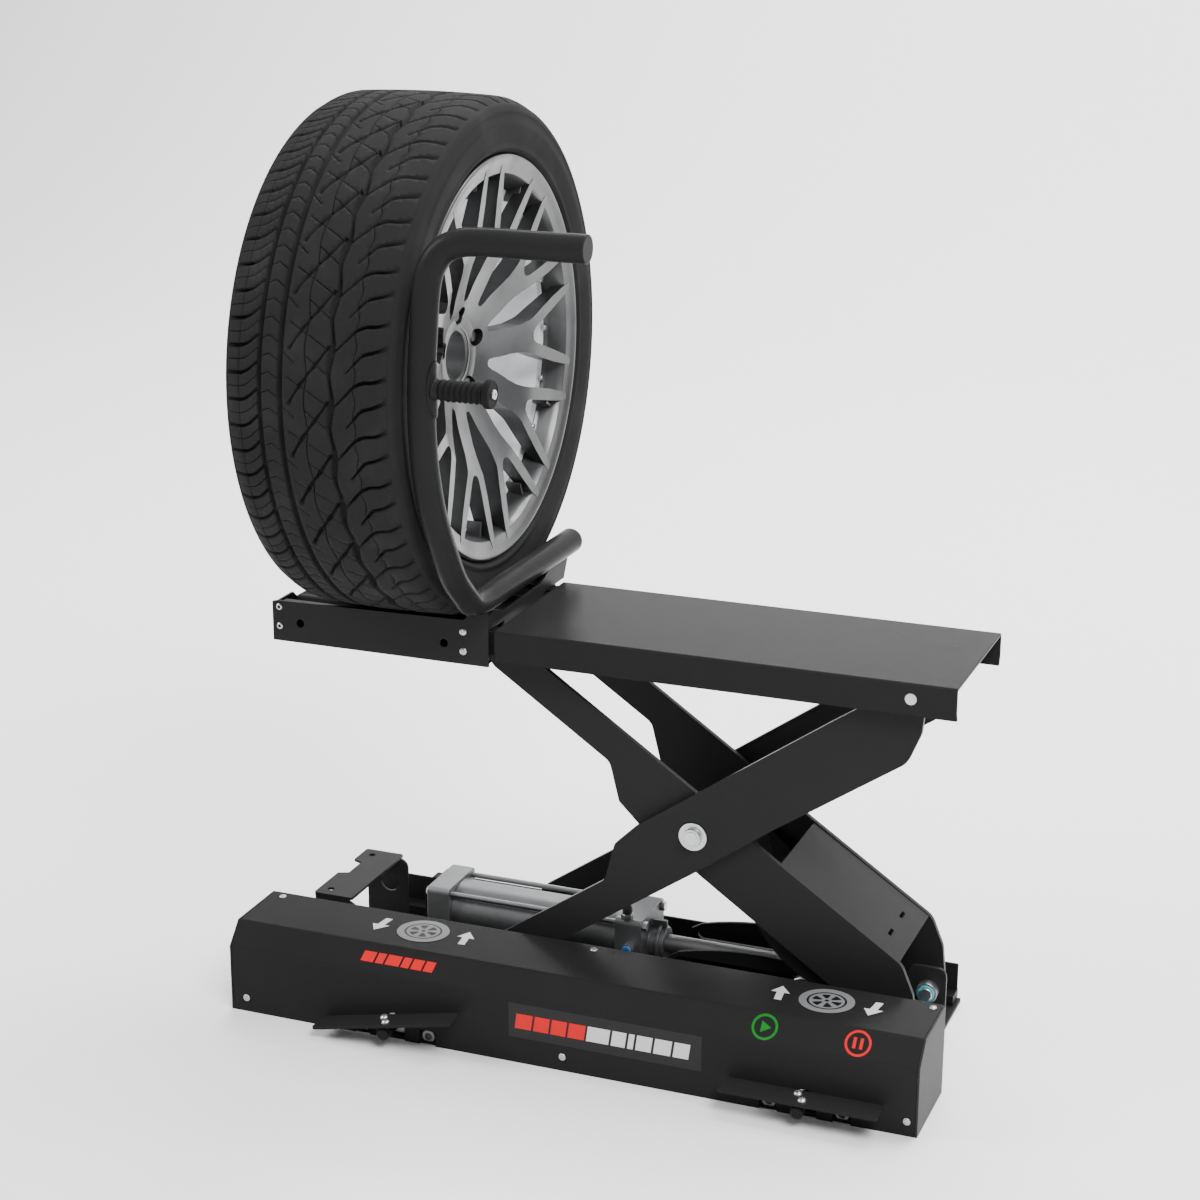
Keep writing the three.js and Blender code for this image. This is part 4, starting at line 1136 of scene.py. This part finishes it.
class LIFT_OT_plates(bpy.types.Operator):
    """Builds the bent and cut plates of the base, arms, platform and cradle"""
    bl_idname = "lift.plates"
    bl_label = "Plates"

    def execute(self, context):
        for node in ("inner_arm_front", "inner_arm_back", "outer_arm_front", "outer_arm_back", "inner_web",
                     "pivot_bracket_front", "pivot_bracket_back", "rest_bracket",
                     "cradle_end_left", "cradle_end_right"):
            keep_shape(node, "paint", "black_paint")
        for node in ("base_tray", "back_rail", "lower_track_front", "lower_track_back", "cylinder_foot",
                     "drive_guide_front", "drive_guide_back", "cam_block_front", "cam_block_back",
                     "slide_rail_front", "slide_rail_back"):
            keep_shape(node, "paint_satin", "frame_paint")
        keep_shape("platform", "paint_gloss", "black_paint", edge=1.1 * MM)
        left, face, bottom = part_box("cradle_side_front")[0]
        rivet = upright("rivet", mm([(-1, 2.2), (-1, 4.6), (0.8, 4.6), (1.6, 3.8), (1.6, 2.6),
                                     (0.6, 2.2)]), 28)
        rivets = spots("rivets", rivet, [((left + 11 * MM, face, bottom + dz * MM), (0, -1, 0))
                                         for dz in (21.5, 49.5)], "zinc")
        screw_places = [((left + 292 * MM, face, bottom + dz * MM), (0, -1, 0)) for dz in (18.5, 46.5)]
        screws = spots("bolts", dome_screw(5.4 * MM, 2.6 * MM), screw_places, "zinc")
        keep_shape("cradle_side_front", "paint", "black_paint", extra=[rivets, screws])
        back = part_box("cradle_side_back")[1].y
        back_screws = spots("bolts", dome_screw(5.4 * MM, 2.6 * MM), [
            ((left + dx * MM, back, bottom + dz * MM), (0, 1, 0)) for dx, dz in
            ((11, 21.5), (11, 49.5), (286, 18.5), (286, 46.5))], "zinc")
        keep_shape("cradle_side_back", "paint", "black_paint", extra=[back_screws])
        return {"FINISHED"}


# ---- Pedal box ----
def on_top(x, y, lift):
    """A point on the cover's flat top."""
    return (x, y, COVER_TOP + lift)


def on_bevel(x, v, lift):
    """A point on the sloping band, v measured up the slope from its foot."""
    length = math.hypot(BEVEL_RISE, BEVEL_RUN)
    up = Vector((0, BEVEL_RUN / length, BEVEL_RISE / length))
    out = Vector((0, -BEVEL_RISE / length, BEVEL_RUN / length))
    return tuple(Vector((x, FRONT, BEVEL_FOOT)) + up * v + out * lift)


def on_front(x, z, lift):
    """A point on the cover's upright front."""
    return (x, FRONT - lift, z)


def film(outline, place, finish_name, level=0):
    """One printed shape: level stacks it over the shapes under it."""
    t = bpy.context.scene.lift_plates.print_depth
    shape = prism("print", outline, lambda a, b, h: place(a, b, h + level * t + PRINT_GAP), t)
    return painted(shape, finish_name)


def ring_print(cx, cy, inner, outer, place, finish_name, level=0, squash=1.0):
    """A printed ring, as a closed strip."""
    t = bpy.context.scene.lift_plates.print_depth
    n, points, faces = 48, [], []
    for h in (0.0, t):
        for r in (inner, outer):
            for k in range(n):
                a = TAU * k / n
                across, along = cx + r * math.cos(a), cy + r * squash * math.sin(a)
                points.append(place(across, along, h + level * t + PRINT_GAP))
    for k in range(n):
        m = (k + 1) % n
        faces += [[k, m, n + m, n + k], [2 * n + k, 3 * n + k, 3 * n + m, 2 * n + m],
                  [n + k, n + m, 3 * n + m, 3 * n + k], [k, 2 * n + k, 2 * n + m, m]]
    return painted(outward(from_data("ring_print", points, faces)), finish_name)


def wheel_sign(x, y):
    """A generic wheel sign: a grey tyre ring, six spokes and a dark hub."""
    squash = 0.93

    def oval(radius, count, finish_name, level):
        outline = [(a, y + (b - y) * squash) for a, b in disc(x, y, radius, count)]
        return film(outline, on_top, finish_name, level)

    parts = [oval(36 * MM, 40, "dark", 0),
             ring_print(x, y, 27 * MM, 37.5 * MM, on_top, "grey", 1, squash),
             ring_print(x, y, 20 * MM, 24 * MM, on_top, "grey", 1, squash)]
    for k in range(6):
        a = TAU * k / 6 + 0.3
        ahead, side = Vector((math.cos(a), math.sin(a))), Vector((-math.sin(a), math.cos(a)))
        corners = [ahead * run + side * half
                   for run, half in ((6, -2.2), (21, -4.2), (21, 4.2), (6, 2.2))]
        parts.append(film([(x + c.x * MM, y + c.y * MM * squash) for c in corners], on_top, "grey", 2))
    return parts + [oval(7.5 * MM, 24, "grey", 3), oval(3 * MM, 16, "dark", 4)]


def arrow(x, y, direction, slant=-0.12):
    """A block arrow that points along Y."""
    shape = [(-5, -20), (5, -20), (5, 2), (13, 2), (0, 21), (-13, 2), (-5, 2)]
    outline = [(x + (a + b * slant) * MM, y + b * direction * MM) for a, b in shape]
    return film(outline, on_top, "white", 1)


def slanted(x0, x1, y0, y1, lean, place, finish_name, level=1):
    """A printed bar whose top end leans sideways."""
    return film([(x0, y0), (x1, y0), (x1 + lean, y1), (x0 + lean, y1)], place, finish_name, level)


def markings(slope):
    """Generic signs and bars where the cover carries its printed films."""
    parts = []
    for x, ahead in ((-237.5 * MM, -1), (350.5 * MM, 1)):
        parts += wheel_sign(x, -164.5 * MM)
        parts.append(arrow(x - 64.5 * MM, -164.5 * MM, ahead))
        parts.append(arrow(x + 64.5 * MM, -164.5 * MM, -ahead))
    middle_v = slope / 2
    low, high = middle_v - 7.5 * MM, middle_v + 7.5 * MM
    play, pause = 288 * MM, 414 * MM
    for x, colour in ((play, "green"), (pause, "red")):
        parts.append(ring_print(x, middle_v, 14.4 * MM, 17.8 * MM, on_bevel, colour))
    triangle = [(play - 5 * MM, middle_v - 8 * MM), (play + 9 * MM, middle_v),
                (play - 5 * MM, middle_v + 8 * MM)]
    parts.append(film(triangle, on_bevel, "green"))
    for x in (pause - 4.6 * MM, pause + 4.6 * MM):
        parts.append(slanted(x - 2.2 * MM, x + 2.2 * MM, low, high, 0, on_bevel, "red"))
    for start, width in ((-298, 19), (-276, 12), (-261, 21), (-237, 12), (-222, 16), (-203, 14)):
        parts.append(slanted(start * MM, (start + width) * MM, low, high, 3 * MM, on_bevel, "red"))
    panel = mm([(-71, 38), (206, 38), (206, 89), (-71, 89)])
    parts.append(film(panel, on_front, "film"))
    x = -62 * MM
    for colour, gap, widths in (("red", 3, (24, 22, 22, 24)), ("white", 3.5, (32, 20, 8, 22, 24, 22))):
        for width in widths:
            parts.append(slanted(x, x + width * MM, 52 * MM, 74 * MM, 3 * MM, on_front, colour, 2))
            x += (width + gap) * MM
    return parts


class LIFT_OT_pedal_box(bpy.types.Operator):
    """Builds the folded cover of the pedal box, its ends, screws and printed signs"""
    bl_idname = "lift.pedal_box"
    bl_label = "Pedal Box"

    def execute(self, context):
        y0, foot, top = FRONT / MM, BEVEL_FOOT / MM, COVER_TOP / MM
        outer = along_x((y0 - 0.6, y0 + 29), (foot - 0.6, top + 0.6))

        def folds(a, b):
            return outer(a, b) and (abs(a.y / MM - y0) < 0.3 or a.z / MM > top - 0.8)

        screw_places = [((x * MM, FRONT, 21 * MM), (0, -1, 0)) for x in (-475.5, 7.5, 485.5)]
        screw_places += [((x * MM, -132 * MM, COVER_TOP), (0, 0, 1)) for x in (-477, 7, 486)]
        screws = spots("screws", dome_screw(5.2 * MM, 2.6 * MM), screw_places, "zinc")
        keep_shape("front_cover", "paint_gloss", "black_paint", folds, extra=[screws])
        prints = join("cover_prints", markings(math.hypot(BEVEL_RISE, BEVEL_RUN)))
        seat(prints, "base", "black_paint")
        keep_shape("end_cap_left", "paint", "black_paint")
        keep_shape("end_cap_right", "end_cap", "black_paint")
        return {"FINISHED"}


def rocked(obj, centre, degrees):
    """Turns a piece about the Y axis through centre, in its mesh."""
    turn = Matrix.Rotation(math.radians(degrees), 4, "Y")
    obj.data.transform(Matrix.Translation(centre) @ turn @ Matrix.Translation(-centre))
    return obj


class LIFT_OT_pedals(bpy.types.Operator):
    """Builds the two rocking pedals with their shafts, screws and bushings"""
    bl_idname = "lift.pedals"
    bl_label = "Pedals"

    def execute(self, context):
        for side, rock in (("left", -11.8), ("right", 0.0)):
            shaft = "pedal_shaft_" + side
            joint = [j for j in frame["joints"] if j["child"] == side + "_pedal"][0]
            centre = Vector(joint["pos_m"])
            half, low, high = 108 * MM, FRONT - 42 * MM, FRONT - 3 * MM
            corner = 6 * MM
            outline = []
            for quarter, (sign, y) in enumerate(((1, high - corner), (-1, high - corner), (-1, low + corner),
                                                 (1, low + corner))):
                outline += arc(centre.x + sign * (half - corner), y, corner, quarter * TAU / 4,
                               (quarter + 1) * TAU / 4, 6)
            plate = prism("plate", outline, lambda a, b, h: (a, b, centre.z + 11 * MM + h), 4 * MM)
            plate = painted(eased(plate, 0.9 * MM, 3), "paint_gloss")
            places = [((centre.x + dx * MM, FRONT - dy * MM, centre.z + 15 * MM), (0, 0, 1))
                      for dx, dy in ((-5, 14), (5, 30))]
            screws = spots("screws", dome_screw(6.4 * MM, 4.4 * MM), places, "zinc")
            seat_node("pedal_" + side, "black_paint", rocked(plate, centre, rock),
                      rocked(screws, centre, rock))

            knob = lathe("knob", "y", (centre.x, FRONT, centre.z), mm([
                (-40, 0), (-40, 6.4), (-38.5, 8.8), (-34, 9), (-32.5, 7.6), (-30.5, 7.6), (-29, 9), (36, 9),
                (36, 0)]), 48)
            foot = block("foot", (centre.x - 9 * MM, FRONT - 36 * MM, centre.z + 4 * MM),
                         (centre.x + 9 * MM, FRONT - 6 * MM, centre.z + 10.6 * MM))
            knob = painted(eased(knob, 0.4 * MM), "paint_satin")
            seat_node(shaft, "frame_paint", rocked(knob, centre, rock),
                      rocked(painted(foot, "paint_satin"), centre, rock))

            keep_shape("pedal_bearing_" + side, "zinc", "zinc_steel")
            bush = lathe("bush", "y", (0, 0, 0), mm([(-2, 5.2), (-2, 9), (-1, 9.8), (3, 9.8), (3, 5.2)]), 36)
            bush.data.transform(Matrix.Rotation(-math.pi / 2, 4, "X"))
            ports = [((centre.x + dx * MM, FRONT + 5.5 * MM, 12 * MM), (0, -1, 0)) for dx in (-50, 50)]
            core = upright("core", mm([(0, 0), (0, 5), (2.4, 5), (2.9, 4.2), (2.9, 0)]), 28)
            core.data.transform(Matrix.Translation((0, 0, -2 * MM)))
            valves = join("pedal_ports_" + side, [spots("rings", bush, ports, "cast"),
                                                  spots("cores", core, ports, "nylon")])
            seat(valves, "base", "cylinder_alloy")
        return {"FINISHED"}


# ---- Bolts, pins and rollers ----
class LIFT_OT_pivots(bpy.types.Operator):
    """Builds the pivot bolts, cross tube and rollers"""
    bl_idname = "lift.pivots"
    bl_label = "Pivots"

    def execute(self, context):
        for end, side in (("front", -1), ("back", 1)):
            outer, inner = (0, 1) if side < 0 else (1, 0)
            node = "centre_bolt_" + end
            core = painted(turned(node, "y"), "zinc")
            spot = middle(node)
            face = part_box("outer_arm_" + end)[outer].y
            head = spots("head", hex_head(11.5 * MM, 7.4 * MM),
                         [((spot.x, face + side * 2.8 * MM, spot.z), (0, side, 0))], "zinc")
            seat_node(node, "zinc_steel", core, head)

            node = "lower_pivot_" + end
            core = painted(turned(node, "y"), "zinc")
            spot = middle(node)
            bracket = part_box("pivot_bracket_" + end)[inner].y
            nut = spots("nut", hex_head(15 * MM, 9 * MM),
                        [((spot.x, bracket - side * 4.6 * MM, spot.z), (0, -side, 0))], "zinc")
            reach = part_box(node)[inner].y
            nut_end = [((spot.x, reach + side * 4.0 * MM, spot.z), (0, -side, 0))]
            insert = upright("insert", mm([(0, 0), (0, 11.8), (1.8, 11.8), (2.2, 11), (2.2, 0)]), 36)
            stud = upright("stud", mm([(0, 0), (0, 9.4), (3.8, 9.4), (4.6, 8.4), (4.6, 0)]), 36)
            seat_node(node, "zinc_steel", core, nut, spots("insert", insert, nut_end, "cyan"),
                      spots("stud", stud, nut_end, "zinc"))

            for node, axis, finish_name, slot in (
                    ("top_pivot_", "y", "zinc", "zinc_steel"), ("upper_roller_", "y", "nylon", "nylon"),
                    ("lower_roller_", "y", "nylon", "nylon"),
                    ("cradle_roller_", "x", "paint_satin", "black_paint"),
                    ("cam_roller_", "y", "zinc", "zinc_steel")):
                seat_node(node + end, slot, painted(turned(node + end, axis), finish_name))
        seat_node("outer_cross_tube", "frame_paint",
                  painted(turned("outer_cross_tube", "y"), "paint_satin"))
        return {"FINISHED"}


# ---- Air cylinder ----
def elbow(name, start, turn, end, radius):
    """A short bent tube through three points."""
    path = smooth_path([start, turn, end], 16)
    return eased(sweep(name, path, radius, 24), 0.3 * MM)


class LIFT_OT_cylinder(bpy.types.Operator):
    """Builds the air cylinder with its tie rods, nuts, fittings, rod and crosshead"""
    bl_idname = "lift.cylinder"
    bl_label = "Air Cylinder"

    def execute(self, context):
        rear_low, rear_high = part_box("cylinder_rear_head")
        front_low, front_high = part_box("cylinder_front_head")
        axis = middle("cylinder_barrel")
        seat_node("cylinder_barrel", "cylinder_alloy", painted(turned("cylinder_barrel", "x", 96), "barrel"))
        corner = 38 * MM
        corners = [(sy * corner, sz * corner) for sy in (-1, 1) for sz in (-1, 1)]
        x0, x1 = rear_high.x + 0.2 * MM, front_low.x - 0.2 * MM
        profile = [(x0, 0), (x0, 4 * MM), (x1, 4 * MM), (x1, 0)]
        rods = [painted(eased(lathe("tie_rod", "x", (0, axis.y + dy, axis.z + dz), profile, 24), 0), "rod")
                for dy, dz in corners]
        seat(join("tie_rods", rods), "base", "cylinder_alloy")

        nut_places = [((rear_low.x + 2 * MM, axis.y + dy, axis.z + dz), (-1, 0, 0)) for dy, dz in corners]
        rear_nuts = spots("nuts", socket_screw(6.6 * MM, 5.4 * MM), nut_places, "zinc")
        keep_shape("cylinder_rear_head", "cast", "cylinder_alloy", edge=1.4 * MM, extra=[rear_nuts])
        face = front_low.x + 40 * MM
        nut_places = [((face - 0.4 * MM, axis.y + dy, axis.z + dz), (1, 0, 0)) for dy, dz in corners]
        front_nuts = spots("nuts", hex_head(7.4 * MM, 6.4 * MM), nut_places, "zinc")
        web = [painted(block("web", (front_high.x - 22 * MM, axis.y - 3 * MM + dy, axis.z + low),
                             (front_high.x - 0.5 * MM, axis.y + 3 * MM + dy, axis.z + high)), "cast")
               for dy, low, high in ((0, 22.6 * MM, 34 * MM), (0, -34 * MM, -22.6 * MM))]
        collar = lathe("collar", "x", (face, axis.y, axis.z),
                       mm([(12, 22.5), (12, 27), (17, 27), (17, 22.5)]), 64)
        keep_shape("cylinder_front_head", "cast", "cylinder_alloy", edge=1.2 * MM,
                   extra=[front_nuts, painted(eased(collar, 0.8 * MM), "cast"), *web])

        port = Vector((front_low.x + 16 * MM, axis.y - 40 * MM, front_high.z - 2 * MM))
        boss = lathe("boss", "x", (0, 0, 0), mm([(0, 0), (0, 9), (9, 9), (9, 0)]), 6)
        boss.data.transform(Matrix.Rotation(-math.pi / 2, 4, "Y"))
        boss.data.transform(Matrix.Translation(port))
        body = elbow("elbow", port + Vector((0, 0, 7 * MM)), port + Vector((0, 0, 19 * MM)),
                     port + Vector((-20 * MM, 0, 20 * MM)), 7 * MM)
        release = lathe("release", "x", port + Vector((-27 * MM, 0, 20 * MM)),
                        mm([(0, 4), (0, 7.6), (5, 7.6), (5, 4)]), 32)
        second = Vector((front_low.x + 24 * MM, axis.y - 49 * MM, axis.z + 8 * MM))
        plug = lathe("plug", "y", (second.x, second.y - 15 * MM, second.z),
                     mm([(0, 0), (0, 6), (4, 6.4), (4, 8.4), (16, 8.4), (16, 0)]), 32)
        plug_ring = lathe("plug_ring", "y", (second.x, second.y - 17 * MM, second.z),
                          mm([(0, 3), (0, 6.8), (4, 6.8), (4, 3)]), 32)
        parts = [painted(eased(boss, 0.5 * MM), "zinc"), painted(body, "nylon"),
                 painted(eased(release, 0.4 * MM), "yellow"), painted(eased(plug, 0.4 * MM), "cast"),
                 painted(eased(plug_ring, 0.3 * MM), "blue")]
        seat(join("air_fittings", parts), "base", "cylinder_alloy")

        seat_node("piston_rod", "zinc_steel", painted(turned("piston_rod", "x", 64, 0.6 * MM), "cast"))
        lock = lathe("lock_nut", "x", (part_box("crosshead")[0].x, axis.y, axis.z),
                     mm([(-11, 12.9), (-11, 19), (-1, 19), (-1, 12.9)]), 6)
        keep_shape("crosshead", "cast", "cylinder_alloy", edge=1.2 * MM,
                   extra=[painted(eased(lock, 0.8 * MM), "zinc")])
        return {"FINISHED"}


# ---- Stage: the camera's turn, tilt and roll are in degrees ----
CAMERA_PLACE = (1.158, -3.071, 1.6136)
CAMERA_TURN, CAMERA_TILT, CAMERA_ROLL = 21.269, 17.245, 0.212
CAMERA_LENS = 75.05
FLOOR_FRONT, FLOOR_HALF = -40.0, 14.0
SKY = 0.5



class LIFT_OT_stage(bpy.types.Operator):
    """Sets the floor, the studio light and the camera"""
    bl_idname = "lift.stage"
    bl_label = "Stage"

    def execute(self, context):
        scene = context.scene
        run, rise, bend = 7.0, 7.0, 3.0
        section = [(FLOOR_FRONT, 0.0)] + [(run - bend + bend * math.sin(t), bend - bend * math.cos(t))
                                   for t in np.linspace(0, math.pi / 2, 16)] + [(run, rise)]
        points = [(x, y, z) for x in (-FLOOR_HALF, FLOOR_HALF) for y, z in section]
        n = len(section)
        faces = [[k, n + k, n + k + 1, k + 1] for k in range(n - 1)]
        floor = painted(from_data("studio_floor", points, faces), "floor")
        floor.data.shade_smooth()

        world = bpy.data.worlds.new("studio")
        world.use_nodes = True
        sky = world.node_tree.nodes["Background"]
        sky.inputs["Color"].default_value = (1, 1, 1, 1)
        sky.inputs["Strength"].default_value = SKY
        scene.world = world
        lamps = (("key", (2.6, -2.6, 4.6), (2.6, 2.0), 330), ("side", (-4.6, -1.2, 3.4), (2.4, 2.4), 230),
                 ("top", (0.9, 1.9, 5.2), (4.2, 2.6), 420), ("sweep", (0.0, 4.0, 5.6), (8.0, 1.2), 560))
        for name, place, size, power in lamps:
            light = bpy.data.lights.new(name, "AREA")
            light.shape = "RECTANGLE"
            light.size, light.size_y = size
            light.energy = power
            lamp = bpy.data.objects.new(name, light)
            lamp.location = place
            aim = Vector((0, 5.5, 2.0) if name == "sweep" else (0, 0, 0.4)) - Vector(place)
            lamp.rotation_euler = aim.to_track_quat("-Z", "Y").to_euler()
            scene.collection.objects.link(lamp)

        data = bpy.data.cameras.new("camera")
        data.sensor_width = 36.0
        data.lens = CAMERA_LENS
        camera = bpy.data.objects.new("camera", data)
        camera.location = CAMERA_PLACE
        turn = (Matrix.Rotation(math.radians(CAMERA_TURN), 4, "Z")
                @ Matrix.Rotation(math.radians(90 - CAMERA_TILT), 4, "X"))
        camera.rotation_euler = (turn @ Matrix.Rotation(math.radians(CAMERA_ROLL), 4, "Z")).to_euler()
        scene.collection.objects.link(camera)
        scene.camera = camera
        return {"FINISHED"}


class LIFT_PT_panel(bpy.types.Panel):
    """Lists the settings and the builders"""
    bl_idname = "LIFT_PT_panel"
    bl_label = "Wheel Lift"
    bl_space_type = "VIEW_3D"
    bl_region_type = "UI"
    bl_category = "Wheel Lift"

    def draw(self, context):
        for group in (context.scene.lift_colours, context.scene.lift_wheel, context.scene.lift_plates):
            box = self.layout.box()
            for key in group.__annotations__:
                box.prop(group, key)
        for builder in BUILDERS:
            self.layout.operator(builder.bl_idname)


BUILDERS = (LIFT_OT_stage, LIFT_OT_tyre, LIFT_OT_rim, LIFT_OT_guard, LIFT_OT_grip, LIFT_OT_plates,
            LIFT_OT_pedal_box, LIFT_OT_pedals, LIFT_OT_pivots, LIFT_OT_cylinder)
GROUPS = {"lift_colours": LiftColours, "lift_wheel": WheelSizes, "lift_plates": PlateSizes}


def register():
    for cls in (*GROUPS.values(), *BUILDERS, LIFT_PT_panel):
        bpy.utils.register_class(cls)
    for name, group in GROUPS.items():
        setattr(bpy.types.Scene, name, PointerProperty(type=group))


def unregister():
    for name in GROUPS:
        delattr(bpy.types.Scene, name)
    for cls in reversed((*GROUPS.values(), *BUILDERS, LIFT_PT_panel)):
        bpy.utils.unregister_class(cls)


def main():
    register()
    for builder in BUILDERS:
        getattr(bpy.ops.lift, builder.bl_idname.split(".")[1])()
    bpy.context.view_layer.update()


if __name__ == "__main__":
    main()
